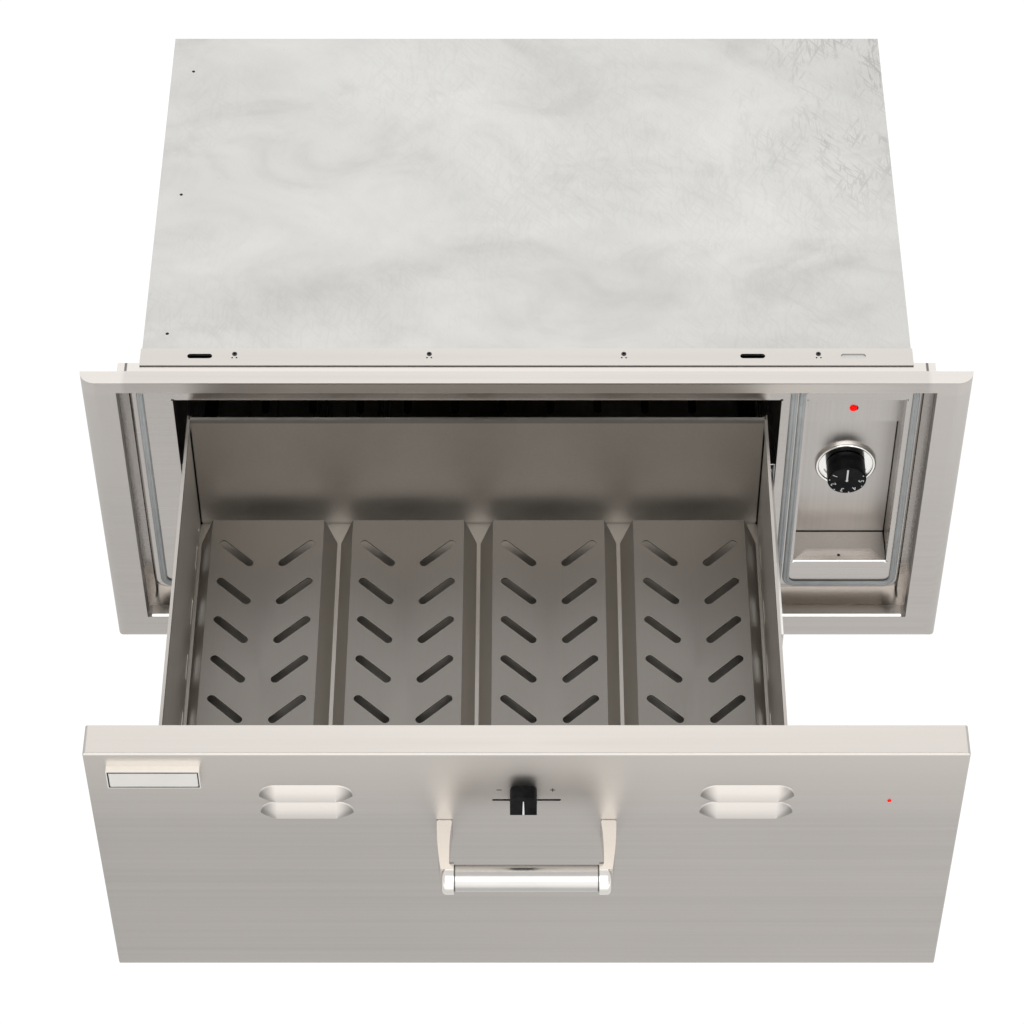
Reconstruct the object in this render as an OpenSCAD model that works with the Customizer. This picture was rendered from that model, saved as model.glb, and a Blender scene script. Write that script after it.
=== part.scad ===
// Built-in warming drawer with an insulated cabinet, a recessed control pocket and a drawer on
// telescopic slides, drawn with the drawer pulled out to its stop.
// X runs to the right seen from the front, Y into the cabinet and Z up. The origin is on the
// centre plane, at the back of the trim frame and level with the underside of the cabinet.

/* [Trim frame] */
// Width over the trim frame
frame_w = 775; // [765:1:800]
// Depth of the trim frame, which is also the radius of its rolled edges
frame_depth = 14.2; // [10:0.1:16]
// Height of the rail over the opening
top_rail = 12.6; // [8:0.2:20]
// Height of the rail under the opening
bottom_rail = 36; // [30:1:60]
// Width of each stile beside the opening
side_rail = 31.3; // [29:0.1:34]
// Height of the opening in the frame
opening_h = 310.4; // [308:0.2:330]
// Sheet thickness of the trim frame
frame_sheet = 1.2; // [0.8:0.1:1.6]
// Width of the frame's inturned back lip
back_lip = 9; // [5:0.5:14]

/* [Recess and platform] */
// Sheet thickness of the cabinet parts
sheet = 1; // [0.8:0.1:1.2]
// Depth of the recess behind the frame's front
recess_depth = 33.9; // [33:0.1:40]
// How far the gasket platform stands forward in the recess
platform_rise = 14.5; // [12:0.1:15]
// Margin of the platform inside the opening at the sides
platform_side_gap = 7.2; // [7:0.1:9]
// Margin of the platform under the top rail
platform_top_gap = 5.8; // [5.7:0.1:7]
// Margin of the platform over the bottom rail
platform_bottom_gap = 19.3; // [12:0.1:22]
// Corner radius of the platform
platform_corner = 13; // [8:0.5:16]
// Radius of the fold round the platform's edge
platform_fold = 3.6; // [2:0.1:5]
// Width of the bare rim outside the gaskets on the left
gasket_side_gap = 6.8; // [6:0.1:9]
// Width of the bare rim outside the gaskets on the right
gasket_right_gap = 4; // [3.8:0.1:6]
// Bare rim outside the gaskets at the bottom and the top
gasket_end_gap = 5.2; // [5:0.1:7]
// Width of a gasket strip
gasket_w = 6; // [4:0.2:7]
// Height of a gasket strip
gasket_h = 3; // [2:0.1:3]
// Gap between the two gasket loops
gasket_gap = 1.4; // [1:0.1:3]

/* [Openings in the platform] */
// Distance of the drawer opening from the left end of its gasket
bay_gasket_gap = 25.4; // [15:0.1:26]
// Distance of the drawer opening from the right end of its gasket
bay_right_gap = 7.7; // [6:0.1:12]
// Top of both openings, below the underside of the top rail
bay_top_gap = 30; // [28:0.5:40]
// Height of both openings
bay_h = 222.4; // [215:0.2:230]
// Width of the control pocket's opening
pocket_w = 86.5; // [84:0.5:89]
// Distance of the pocket's opening from the right end of its gasket
pocket_gasket_gap = 4.7; // [4.7:0.1:6]
// Distance of the pocket's opening from the left end of its gasket
pocket_left_gap = 2.5; // [2:0.1:4]
// Radius of the corner relief holes
relief_r = 1.4; // [0.8:0.1:2]

/* [Control pocket] */
// Sheet thickness of the pocket and of its folded flaps
pocket_sheet = 0.8; // [0.6:0.1:1]
// Depth of the pocket behind the platform's face
pocket_depth = 37.9; // [34:0.1:45]
// Depth of the step that carries the pilot lamp
lamp_step_depth = 23.9; // [20:0.1:28]
// Height of the lamp step, from the top of the opening
lamp_step_h = 54; // [44:0.5:64]
// Length of the flaps folded in from the platform
flap_depth = 12.5; // [8:0.5:16]
// Sideways place of the lamp and the knob from the middle of the pocket
control_offset = 0.9; // [-3:0.1:3]
// Height of the pilot lamp over the lower edge of its step
lamp_rise = 17.5; // [12:0.5:30]
// Diameter of the pilot lamp's lens
lamp_d = 6.5; // [5:0.1:9]
// Height of the knob's axis over the pocket's floor
knob_rise = 96; // [80:1:110]
// Diameter of the knob
knob_d = 35.4; // [30:0.2:44]
// Length of the knob
knob_l = 19.7; // [14:0.1:24]
// Outer diameter of the bezel
bezel_d = 55.8; // [50:0.2:62]
// Width of the bezel's raised ring
bezel_ring = 3.4; // [2:0.1:4]
// Diameter of the thermostat's shaft
shaft_d = 6; // [5:0.1:8]
// Turn of the knob from off to its highest setting, in degrees
knob_turn = 285; // [240:5:300]

/* [Cabinet] */
// How far each side of the cabinet stands inside the opening's edge
cabinet_inset = 19.2; // [12:0.1:20]
// Room behind the rear blanket, for the terminals
rear_space = 23.5; // [18:0.5:60]
// Height of the cabinet over its underside
cabinet_h = 313; // [312:0.5:318]
// Depth of the mounting collar
collar_depth = 16; // [14:0.5:30]
// How far the collar's top reaches forward over the recess
collar_lap = 4; // [2:0.1:8]
// Length of each mounting slot
slot_l = 21.8; // [14:0.2:30]
// Width of each mounting slot
slot_w = 5.4; // [4:0.1:7]
// Distance of the outer mounting slots from the cabinet's sides
slot_inset = 51.1; // [40:0.1:70]
// Distance of the inner slot, on the right half, from the cabinet's side
inner_slot_inset = 139.2; // [110:0.1:180]
// Spacing of the collar's rivets
rivet_pitch = 170.3; // [150:0.1:180]
// Diameter of the small holes along the top's left edge
top_hole_d = 3; // [2:0.1:5]

/* [Liner and heating] */
// Room behind the slides in the liner
liner_back_gap = 12; // [10:0.5:16]
// Thickness of the ceramic blanket behind the liner
blanket = 28; // [20:1:40]
// Diameter of the sheathed heating element
element_d = 8; // [6:0.2:10]
// Radius of the element's bends
element_bend = 30; // [20:1:40]
// Height of the element over the liner's floor
element_rise = 26; // [18:1:32]
// Height of the heat shield over the liner's floor
shield_rise = 48; // [42:1:56]

/* [Drawer] */
// Travel from closed to the stop
travel = 384; // [340:1:386]
// Gap beside the closed front
front_side_gap = 4.95; // [4:0.05:5]
// Gap over the closed front
front_top_gap = 3.5; // [2:0.1:4]
// Gap under the closed front
front_bottom_gap = 2.1; // [1.5:0.1:4]
// Depth of the front's folded rim
rim_depth = 28.5; // [27:0.1:30]
// Corner radius of the front
front_corner = 2.5; // [2:0.1:5]
// Radius of the folds round the front's face
front_fold = 1.8; // [0.8:0.1:2.2]
// How far the inner liner lies inside the rim
liner_recess = 12.3; // [11:0.1:14]
// Sheet thickness of the drawer
drawer_sheet = 1; // [0.8:0.1:1.2]
// Length of each slide, which the drawer's box follows
slide_l = 376; // [346:0.5:380]
// Height of the drawer's inner floor over the bay's floor
box_floor_rise = 69.7; // [66:0.5:75]
// Height of the drawer's side walls over its inner floor
box_wall_h = 141.5; // [120:0.5:150]
// How far the side walls run past the back wall
wall_past_back = 4; // [2:0.5:8]
// Width of the hem along the tops of the walls
hem_w = 2.6; // [2:0.1:4]

/* [Racks] */
// Number of racks side by side
racks = 4; // [2:1:5]
// Gap between two racks
rack_gap = 3.3; // [1:0.1:8]
// Gap between the outer racks and the drawer's walls
rack_margin = 2.7; // [1:0.1:6]
// Height of a rack
rack_h = 22; // [14:0.5:30]
// How far each flange slopes out
rack_slope = 11.4; // [6:0.1:12]
// Gap between the racks and the drawer's front
rack_front_gap = 19.8; // [15:0.1:30]
// Gap between the racks and the drawer's back wall
rack_back_gap = 15; // [5:0.5:20]
// Rows of slots in a rack
rack_rows = 7; // [4:1:7]
// Plain stretch of a rack in front of its last row
rack_plain = 34.8; // [30:0.1:45]
// Length of a slot over its round ends
rack_slot_l = 40.5; // [30:0.5:42]
// Width of a slot
rack_slot_w = 7.5; // [5:0.1:9]

/* [Handle and front fittings] */
// Diameter of the handle's tube
handle_d = 22; // [18:0.5:26]
// Length of the tube between the posts
handle_l = 116.8; // [100:0.5:140]
// Distance of the tube's axis from the front
handle_out = 47.8; // [40:0.5:60]
// Height of the tube's axis over the cabinet's underside
handle_z = 204.6; // [190:0.5:215]
// Radius of the posts' round heads
head_r = 13.25; // [12:0.25:16]
// Width of the posts' heads
head_w = 10; // [8:0.5:14]
// Width of a post at the panel
post_w = 12.4; // [10:0.2:16]
// Width of a louvre
louvre_w = 77; // [60:0.5:90]
// Height of a louvre
louvre_h = 14.4; // [12:0.1:16]
// How far a louvre stands out
louvre_out = 6.7; // [5:0.1:8]
// Tilt of a louvre at its mouth, in degrees
louvre_tilt = 12; // [6:0.5:14]
// Distance of the louvres' middle from the centre plane
louvre_x = 177.2; // [160:0.1:190]
// Spacing of the two louvres of a pair
louvre_pitch = 22.5; // [20:0.5:30]
// Height of the lower louvres' mouths over the cabinet's underside
louvre_z = 229.2; // [215:0.1:235]
// Width of the blank plate
badge_w = 74.3; // [60:0.5:90]
// Height of the blank plate
badge_h = 22; // [16:0.5:26]
// Thickness of the blank plate
badge_t = 6; // [2:0.5:7]
// Length of the moisture control's slot
vent_slot_l = 55.4; // [50:0.2:60]
// Height of the moisture control's slot
vent_slot_h = 2.4; // [2:0.1:4]
// Height of the slot over the cabinet's underside
vent_slot_z = 245.8; // [240:0.5:250]
// Width of the moisture knob
vent_knob_w = 21.6; // [16:0.2:24]
// Height of the moisture knob
vent_knob_h = 24.3; // [18:0.1:28]
// How far the moisture knob stands out
vent_knob_out = 11.4; // [8:0.2:14]
// Place of the moisture knob from the middle of its slot
vent_knob_x = -2.5; // [-10:0.5:10]
// Diameter of the window for the pilot lamp
window_d = 3.5; // [2.5:0.1:5]

/* [Hidden] */
$fn = 48;
cut = 1;              // how far a cutting shape runs past a face
fit = 0.1;            // clearance between pieces that only just miss each other

// Colours
c_steel = [0.72, 0.70, 0.67];
c_bright = [0.86, 0.85, 0.83];
c_dark_steel = [0.30, 0.29, 0.28];
c_rubber = [0.42, 0.45, 0.47];
c_black = [0.05, 0.05, 0.055];
c_red = [0.85, 0.05, 0.04];
c_blanket = [0.93, 0.91, 0.84];
c_ceramic = [0.88, 0.85, 0.78];
c_brass = [0.75, 0.60, 0.30];

// Frame, recess and platform
front_y = -frame_depth;
opening_w = frame_w - 2 * side_rail;
opening = [[-opening_w / 2, opening_w / 2], [sheet, sheet + opening_h]];
frame_z = [opening[1][0] - bottom_rail, opening[1][1] + top_rail];
base_y = front_y + recess_depth;
platform_y = base_y - platform_rise;
platform_x = [opening[0][0] + platform_side_gap, opening[0][1] - platform_side_gap];
platform_z = [opening[1][0] + platform_bottom_gap, opening[1][1] - platform_top_gap];
gasket_z = [platform_z[0] + gasket_end_gap, platform_z[1] - gasket_end_gap];
pocket_x1 = platform_x[1] - gasket_right_gap - gasket_w - pocket_gasket_gap;
pocket_x = [pocket_x1 - pocket_w, pocket_x1];
bay_z1 = opening[1][1] - bay_top_gap;
bay_z = [bay_z1 - bay_h, bay_z1];
control_gasket_x = [pocket_x[0] - pocket_left_gap - gasket_w, platform_x[1] - gasket_right_gap];
drawer_gasket_x = [platform_x[0] + gasket_side_gap, control_gasket_x[0] - gasket_gap];
bay_x = [drawer_gasket_x[0] + gasket_w + bay_gasket_gap, drawer_gasket_x[1] - gasket_w - bay_right_gap];
gasket_corner = 12;

// Control pocket
pocket_wall_x = [pocket_x[0] - pocket_sheet, pocket_x[1] + pocket_sheet];
pocket_wall_z = [bay_z[0] - pocket_sheet, bay_z[1] + pocket_sheet];
pocket_back_y = platform_y + pocket_depth;
lamp_face_y = platform_y + lamp_step_depth;
lamp_step_z = bay_z[1] - lamp_step_h;
control_x = (pocket_x[0] + pocket_x[1]) / 2 + control_offset;
lamp_z = lamp_step_z + lamp_rise;
lamp_hole_r = lamp_d / 2 + 0.75;
lens_shift = -0.6;    // the lens sits off centre in its hole
knob_z = bay_z[0] + knob_rise;
bezel_plate = 1;
knob_gap = 1;
knob_front_y = pocket_back_y - bezel_plate - knob_gap - knob_l;
panel_hole_r = 6;
bezel_screw_x = 11;

// Cabinet
wrap_x = opening_w / 2 - cabinet_inset;
wrap_y0 = base_y + 2 * sheet + fit;
inside_x = wrap_x - sheet;
collar_y = [base_y + sheet, base_y + sheet + collar_depth];
slot_y = collar_y[0] + 6.9;
slot_x = [-wrap_x + slot_inset, wrap_x - inner_slot_inset, wrap_x - slot_inset];
collar_flange = 6;
rivet_x = [for (i = [-1.5 : 1.5]) i * rivet_pitch];
rivet_y = collar_y[0] + 9.4;
rivet_hole_r = 1.6;
rivet_r = 1.55;
pin_hole_r = 0.8;
pin_hole_x = 1.9;     // beside the rivet
pin_hole_y = 4.5;     // in front of the rivet
top_hole_x = -wrap_x + 20.6;
top_hole_y = [wrap_y0 + 33.7, wrap_y0 + 209.7, wrap_y0 + 377.7];
pan_lip = 20;
wrap_flange = 20;
cover_screw_x = wrap_x - 11;
cover_screw_z = [pan_lip + 25, cabinet_h - 60];
cover_screw_hole_r = 1.6;
inlet_z = 60;
inlet_w = 29.5;
inlet_h = 22;
inlet_screw_x = 20;

// Liner
liner_sheet = pocket_sheet;
liner_y0 = platform_y + sheet;
liner_back_y = liner_y0 + slide_l + liner_back_gap;
rear_y = liner_back_y + liner_sheet + blanket + rear_space;
liner_outer_x = [bay_x[0] - liner_sheet, bay_x[1] + liner_sheet];
liner_outer_z = [bay_z[0] - liner_sheet, bay_z[1] + liner_sheet];
compartment_x = [liner_outer_x[1] + 14, inside_x];
inlet_x = (compartment_x[0] + compartment_x[1]) / 2;

// Heating element and thermostat
element_z = bay_z[0] + element_rise;
element_y0 = 100;
element_y1 = element_y0 + 6 * element_bend;
element_x = [bay_x[0] + 30 + element_bend, bay_x[1] - 40 - element_bend];
element_end_x = compartment_x[0] + 18;
therm_y = pocket_back_y + pocket_sheet;
therm_w = 44;
bulb_d = 6;
bulb_z = bay_z[0] + 36;
bulb_x = bay_x[1] - 7;
bulb_y = [liner_back_y - 104, liner_back_y - 24];
block_x = [inlet_x - 26, inlet_x + 26];
block_y = [rear_y - 146, rear_y - 106];
block_z = 24;

// Slides
slide_t = 12.7;
slide_h = 45.5;
slide_wall = 1.2;
slide_z = bay_z[0] + 107;
slide_y0 = 12;
ball_d = 3.2;
race_gap = ball_d + fit;
middle_h = slide_h - 2 * slide_wall - 2 * race_gap;
inner_h = middle_h - 2 * slide_wall - 2 * race_gap;
middle_back = travel / 2;

// Drawer, at its stop
face_y = front_y - travel;
front_w = opening_w - 2 * front_side_gap;
front_h = opening_h - front_bottom_gap - front_top_gap;
front_z = [opening[1][0] + front_bottom_gap, opening[1][0] + front_bottom_gap + front_h];
front_mid_z = (front_z[0] + front_z[1]) / 2;
front_back_y = face_y + rim_depth;
liner_face_y = front_back_y - liner_recess;
liner_front_y = liner_face_y - drawer_sheet;
box_x = [bay_x[0] + slide_t, bay_x[1] - slide_t];
box_mid_x = (box_x[0] + box_x[1]) / 2;
box_l = slide_l - 0.2;
box_y = [liner_face_y, liner_face_y + box_l];
box_floor_z = bay_z[0] + box_floor_rise;
box_top_z = box_floor_z + box_wall_h;
back_seam = 1.1;      // gap between the back wall's ends and the side walls
rack_pitch = (box_x[1] - box_x[0] - 2 * drawer_sheet - 2 * rack_margin + rack_gap) / racks;
rack_top_w = rack_pitch - rack_gap - 2 * rack_slope;
rack_l = box_l - drawer_sheet - rack_back_gap - rack_front_gap;
rack_row_pitch = (rack_l - rack_plain) / rack_rows;
rack_slot_x = (rack_top_w - 46.5) / 2;

// Front fittings
louvre_r = (louvre_out * louvre_out + louvre_h * louvre_h)
    / (2 * (louvre_out * cos(louvre_tilt) - louvre_h * sin(louvre_tilt)));
louvre_skin = 0.9;
badge_x0 = -front_w / 2 + 17.45;
badge_z0 = 270.3;
tube_wall = 1.5;
vent_window_w = 13;
vent_window_pitch = 30;
vent_window_z = [228, 262];
shutter_z = [222, 268];
shutter_t = 0.8;
blade_w = 8;
vent_travel = 22.5;
guide_x = [10, louvre_x + 33];
shutter_y = [liner_front_y - shutter_t - 0.2, liner_front_y - 0.2];
shutter_half = louvre_x + vent_window_pitch + vent_travel + vent_window_w / 2 + 8;
handle_y = face_y - handle_out;
post_mid_x = handle_l / 2 + 8.2;
post_waist = 3.8;     // how far a post draws back from its head's inner face
post_foot_gap = 0.8;  // height of the neck at a post's foot

// ---------- shared shapes ----------

// A box given by its low and high corners on each axis
module block(x, y, z) {
    translate([x[0], y[0], z[0]])
        cube([x[1] - x[0], y[1] - y[0], z[1] - z[0]]);
}

// A flat shape drawn as seen from the front, standing between two depths
module upright(y) {
    translate([0, y[1], 0])
        rotate([90, 0, 0])
            linear_extrude(y[1] - y[0])
                children();
}

// A rectangle given by its low and high corners
module rect(x, z) {
    translate([x[0], z[0]])
        square([x[1] - x[0], z[1] - z[0]]);
}

// A rectangle with round corners, given by its low and high corners
module soft_rect(x, z, r) {
    rect([x[0] + r, x[1] - r], z);
    rect(x, [z[0] + r, z[1] - r]);
    for (cx = [x[0] + r, x[1] - r], cz = [z[0] + r, z[1] - r])
        translate([cx, cz])
            circle(r);
}

// A slot with round ends, lying along X
module obround(l, w) {
    square([l - w, w], center = true);
    for (side = [-1, 1])
        translate([side * (l - w) / 2, 0])
            circle(w / 2);
}

// A cylinder along Y between two depths
module rod_y(x, z, y, r) {
    translate([x, y[1], z])
        rotate([90, 0, 0])
            cylinder(h = y[1] - y[0], r = r);
}

// A cylinder along X between two places
module rod_x(x, y, z, r) {
    translate([x[0], y, z])
        rotate([0, 90, 0])
            cylinder(h = x[1] - x[0], r = r);
}

// A slab lying on XY with round corners and a round fold along its top edge
module folded_slab(w, h, d, corner, fold) {
    linear_extrude(d - fold)
        soft_rect([-w / 2, w / 2], [-h / 2, h / 2], corner);
    linear_extrude(d)
        soft_rect([-w / 2 + fold, w / 2 - fold], [-h / 2 + fold, h / 2 - fold], corner - fold);
    for (side = [-1, 1]) {
        translate([-w / 2 + corner, side * (h / 2 - fold), d - fold])
            rotate([0, 90, 0])
                cylinder(h = w - 2 * corner, r = fold);
        translate([side * (w / 2 - fold), h / 2 - corner, d - fold])
            rotate([90, 0, 0])
                cylinder(h = h - 2 * corner, r = fold);
    }
    for (sx = [-1, 1], sy = [-1, 1])
        translate([sx * (w / 2 - corner), sy * (h / 2 - corner), d - fold])
            rotate_extrude()
                translate([corner - fold, 0])
                    circle(fold);
}

// A folded slab that faces the front, given by its outline and its depths
module front_slab(x, y, z, corner, fold) {
    translate([(x[0] + x[1]) / 2, y[1], (z[0] + z[1]) / 2])
        rotate([90, 0, 0])
            folded_slab(x[1] - x[0], z[1] - z[0], y[1] - y[0], corner, fold);
}

// The outline of a pan seen along one of its edges, with its two front corners rounded
module pan_profile(x, y, fold) {
    rect([x[0] + fold, x[1] - fold], y);
    rect(x, [y[0] + fold, y[1]]);
    for (cx = [x[0] + fold, x[1] - fold])
        translate([cx, y[0] + fold])
            circle(fold);
}

// A pan's outer shape, facing the front, whose folds meet in mitres at the corners
module front_pan(x, y, z, corner, fold) {
    intersection() {
        upright(y)
            soft_rect(x, z, corner);
        translate([0, 0, z[0]])
            linear_extrude(z[1] - z[0])
                pan_profile(x, y, fold);
        translate([x[0], 0, 0])
            rotate([90, 0, 90])
                linear_extrude(x[1] - x[0])
                    rotate(-90)
                        mirror([1, 0])
                            pan_profile(z, y, fold);
    }
}

// A tube or wire along a list of points, with round elbows
module run(points, r) {
    for (i = [0 : len(points) - 2]) {
        step = points[i + 1] - points[i];
        l = norm(step);
        translate(points[i])
            rotate([0, acos(step[2] / l), atan2(step[1], step[0])])
                cylinder(h = l, r = r);
    }
    for (i = [1 : len(points) - 2])
        translate(points[i])
            sphere(r * 1.02);
}

// ---------- trim frame and recess ----------

// The frame's outline with rolled sides and bottom, drawn in by an inset
module frame_blank(inset) {
    half = frame_w / 2 - inset;
    roll = frame_depth - inset;
    low = frame_z[0] + inset;
    high = frame_z[1] - inset;
    intersection() {
        translate([0, 0, low])
            linear_extrude(high - low)
                intersection() {
                    rect([-half, half], [-roll, 0]);
                    union() {
                        rect([-half + roll, half - roll], [-roll, 0]);
                        for (side = [-1, 1])
                            translate([side * (half - roll), 0])
                                circle(roll);
                    }
                }
        translate([-half - cut, 0, 0])
            rotate([90, 0, 90])
                linear_extrude(2 * half + 2 * cut) {
                    rect([-roll, 0], [low + roll, high]);
                    intersection() {
                        rect([-roll, 0], [low, low + roll]);
                        translate([0, low + roll])
                            circle(roll);
                    }
                }
    }
}

module trim_frame() {
    lip_x = frame_w / 2 - back_lip;
    color(c_steel)
        difference() {
            frame_blank(0);
            difference() {
                frame_blank(frame_sheet);
                block([opening[0][0] - frame_sheet, opening[0][1] + frame_sheet], [-frame_depth, cut],
                      [opening[1][0] - frame_sheet, opening[1][1] + frame_sheet]);
                difference() {
                    block([-frame_w, frame_w], [-frame_sheet, cut], [frame_z[0], frame_z[1]]);
                    block([-lip_x, lip_x], [-2 * frame_sheet, 2 * cut],
                          [frame_z[0] + back_lip, frame_z[1] - back_lip / 2]);
                }
            }
            block(opening[0], [-frame_depth - cut, cut], opening[1]);
        }
}

// The four flaps round the pocket's window
module pocket_flaps() {
    w = pocket_x[1] - pocket_x[0];
    y = platform_y + sheet;
    translate([pocket_x[0], y, bay_z[0] - pocket_sheet])
        linear_extrude(pocket_sheet)
            polygon([[0, 0], [w, 0], [w - flap_depth, flap_depth], [flap_depth, flap_depth]]);
    translate([pocket_x[0], y, bay_z[1]])
        linear_extrude(pocket_sheet)
            polygon([[0, 0], [w, 0], [w - flap_depth, flap_depth], [flap_depth, flap_depth]]);
    for (x = [pocket_x[0] - pocket_sheet, pocket_x[1]])
        translate([x, 0, 0])
            rotate([90, 0, 90])
                linear_extrude(pocket_sheet)
                    polygon([[y, bay_z[0]], [y, bay_z[1]], [y + flap_depth, bay_z[1] - flap_depth],
                             [y + flap_depth, bay_z[0] + flap_depth]]);
}

// Round relief holes at the corners of a window
module reliefs(x, z) {
    for (cx = x, cz = z)
        translate([cx, cz])
            circle(relief_r);
}

module recess_tub() {
    wall_x = [opening[0][0] - sheet, opening[0][1] + sheet];
    wall_z = [opening[1][0] - sheet, opening[1][1] + sheet];
    back_y = base_y + sheet;
    inner_x = [platform_x[0] + sheet, platform_x[1] - sheet];
    inner_z = [platform_z[0] + sheet, platform_z[1] - sheet];
    color(c_steel) {
        difference() {
            union() {
                difference() {
                    block(wall_x, [0, back_y], wall_z);
                    block(opening[0], [-cut, base_y], opening[1]);
                }
                front_slab(platform_x, [platform_y, back_y], platform_z, platform_corner, platform_fold);
            }
            front_slab(inner_x, [platform_y + sheet, back_y + cut], inner_z,
                       platform_corner - sheet, platform_fold - sheet);
            upright([platform_y - cut, platform_y + 2 * sheet]) {
                rect(bay_x, bay_z);
                rect(pocket_x, bay_z);
                reliefs(bay_x, bay_z);
                reliefs(pocket_x, bay_z);
            }
        }
        difference() {
            pocket_flaps();
            translate([control_x - 1, platform_y + 8, bay_z[0] - 2])
                cylinder(h = 4, r = 1.5);
        }
    }
}

// One loop of gasket round a stretch of the platform
module gasket_loop(x) {
    color(c_rubber)
        upright([platform_y - gasket_h, platform_y])
            difference() {
                soft_rect(x, gasket_z, gasket_corner);
                soft_rect([x[0] + gasket_w, x[1] - gasket_w], [gasket_z[0] + gasket_w, gasket_z[1] - gasket_w],
                          gasket_corner - gasket_w);
            }
}

module drawer_gasket() {
    gasket_loop(drawer_gasket_x);
}

module control_gasket() {
    gasket_loop(control_gasket_x);
}

// ---------- cabinet ----------

// The holes for the collar's rivets and the two pin holes in front of each
module rivet_holes(z) {
    for (x = rivet_x)
        translate([x, rivet_y, z])
            linear_extrude(sheet + 2 * cut) {
                circle(rivet_hole_r);
                for (side = [-1, 1])
                    translate([side * pin_hole_x, -pin_hole_y])
                        circle(pin_hole_r);
            }
}

// A sleeve round the front of the wrap, whose flanges close the back of the recess
module mounting_collar() {
    outer_x = wrap_x + sheet;
    top = cabinet_h + sheet;
    flange_y = [collar_y[0], collar_y[0] + sheet];
    color(c_steel)
        difference() {
            union() {
                difference() {
                    block([-outer_x, outer_x], collar_y, [0, top]);
                    block([-wrap_x, wrap_x], [collar_y[0] - cut, collar_y[1] + cut], [-cut, cabinet_h]);
                }
                block([-outer_x, outer_x], flange_y, [platform_z[1] - collar_flange, top]);
                block([-outer_x, outer_x], [collar_y[0] - collar_lap, collar_y[1]], [cabinet_h, top]);
                for (side = [[-opening[0][1], -wrap_x], [wrap_x, opening[0][1]]])
                    block(side, flange_y, [0, opening[1][1]]);
            }
            for (x = slot_x)
                translate([x, slot_y, cabinet_h - cut])
                    linear_extrude(sheet + 2 * cut)
                        obround(slot_l, slot_w);
            rivet_holes(cabinet_h - cut);
        }
}

module collar_rivets() {
    under = cabinet_h - sheet;
    color(c_bright)
        for (x = rivet_x)
            translate([x, rivet_y, 0])
                difference() {
                    union() {
                        translate([0, 0, under - 1])
                            cylinder(h = 2 * sheet + 1.2, r = rivet_r);
                        translate([0, 0, cabinet_h + sheet])
                            cylinder(h = 0.4, r = 2.2);
                        translate([0, 0, under - 1.6])
                            cylinder(h = 1.6, r = 2.2);
                    }
                    translate([0, 0, under - 0.6])
                        cylinder(h = 6, r = 1.2);
                }
}

module outer_wrap() {
    color(c_bright)
        difference() {
            union() {
                difference() {
                    block([-wrap_x, wrap_x], [wrap_y0, rear_y - sheet], [0, cabinet_h]);
                    block([-inside_x, inside_x], [wrap_y0 - cut, rear_y + cut], [-cut, cabinet_h - sheet]);
                }
                // flanges turned in at the back, for the cover's screws
                for (side = [[-inside_x, -wrap_x + wrap_flange], [wrap_x - wrap_flange, inside_x]])
                    block(side, [rear_y - 2 * sheet, rear_y - sheet], [pan_lip + 2, cabinet_h - sheet]);
            }
            for (x = [slot_x[0], slot_x[1]])
                translate([x, slot_y, cabinet_h - sheet - cut])
                    linear_extrude(sheet + 2 * cut)
                        obround(slot_l, slot_w);
            rivet_holes(cabinet_h - sheet - cut);
            for (y = top_hole_y)
                translate([top_hole_x, y, cabinet_h - sheet - cut])
                    cylinder(h = sheet + 2 * cut, r = top_hole_d / 2);
            for (x = [-cover_screw_x, cover_screw_x], z = cover_screw_z)
                rod_y(x, z, [rear_y - 3 * sheet, rear_y], cover_screw_hole_r);
        }
}

module base_pan() {
    y = [base_y + sheet, rear_y - 2 * sheet];
    color(c_dark_steel) {
        difference() {
            block([-inside_x, inside_x], y, [0, pan_lip]);
            block([-inside_x + sheet, inside_x - sheet], [y[0] - cut, rear_y], [sheet, pan_lip + cut]);
        }
        // front flange against the back of the recess
        block([-inside_x, inside_x], [y[0], y[0] + sheet], [0, platform_z[0]]);
    }
}

module rear_cover() {
    color(c_bright)
        difference() {
            block([-wrap_x, wrap_x], [rear_y - sheet, rear_y], [0, cabinet_h]);
            upright([rear_y - 2 * sheet, rear_y + cut]) {
                translate([inlet_x, inlet_z])
                    square([inlet_w, inlet_h], center = true);
                // air slots behind the control compartment
                for (i = [0 : 5])
                    translate([inlet_x, 150 + 16 * i])
                        obround(50, 5);
            }
            for (x = [-cover_screw_x, cover_screw_x], z = cover_screw_z)
                rod_y(x, z, [rear_y - 3 * sheet, rear_y + cut], cover_screw_hole_r);
            for (side = [-1, 1])
                rod_y(inlet_x + side * inlet_screw_x, inlet_z, [rear_y - 3, rear_y + cut], cover_screw_hole_r);
        }
}

module cover_screws() {
    color(c_bright)
        for (x = [-cover_screw_x, cover_screw_x], z = cover_screw_z)
            difference() {
                union() {
                    rod_y(x, z, [rear_y - 8, rear_y + 0.5], 1.5);
                    rod_y(x, z, [rear_y, rear_y + 2], 3.4);
                }
                for (turn = [0, 90])
                    translate([x, rear_y + 2, z])
                        rotate([0, turn, 0])
                            cube([3.6, 2, 0.8], center = true);
            }
}

module oven_liner() {
    flange = 8;
    color(c_dark_steel)
        difference() {
            union() {
                block(liner_outer_x, [liner_y0, liner_back_y + liner_sheet], liner_outer_z);
                block([liner_outer_x[0] - flange, liner_outer_x[1] + flange], [liner_y0, liner_y0 + liner_sheet],
                      [liner_outer_z[0] - flange, liner_outer_z[1] + flange]);
            }
            block(bay_x, [liner_y0 - cut, liner_back_y], bay_z);
            for (y = [element_y0, element_y1])
                rod_x([bay_x[1] - cut, liner_outer_x[1] + cut], y, element_z, element_d / 2 + 0.3);
            rod_x([bay_x[1] - cut, liner_outer_x[1] + cut], bulb_y[1] + 20, bulb_z, 1.4);
        }
}

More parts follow.
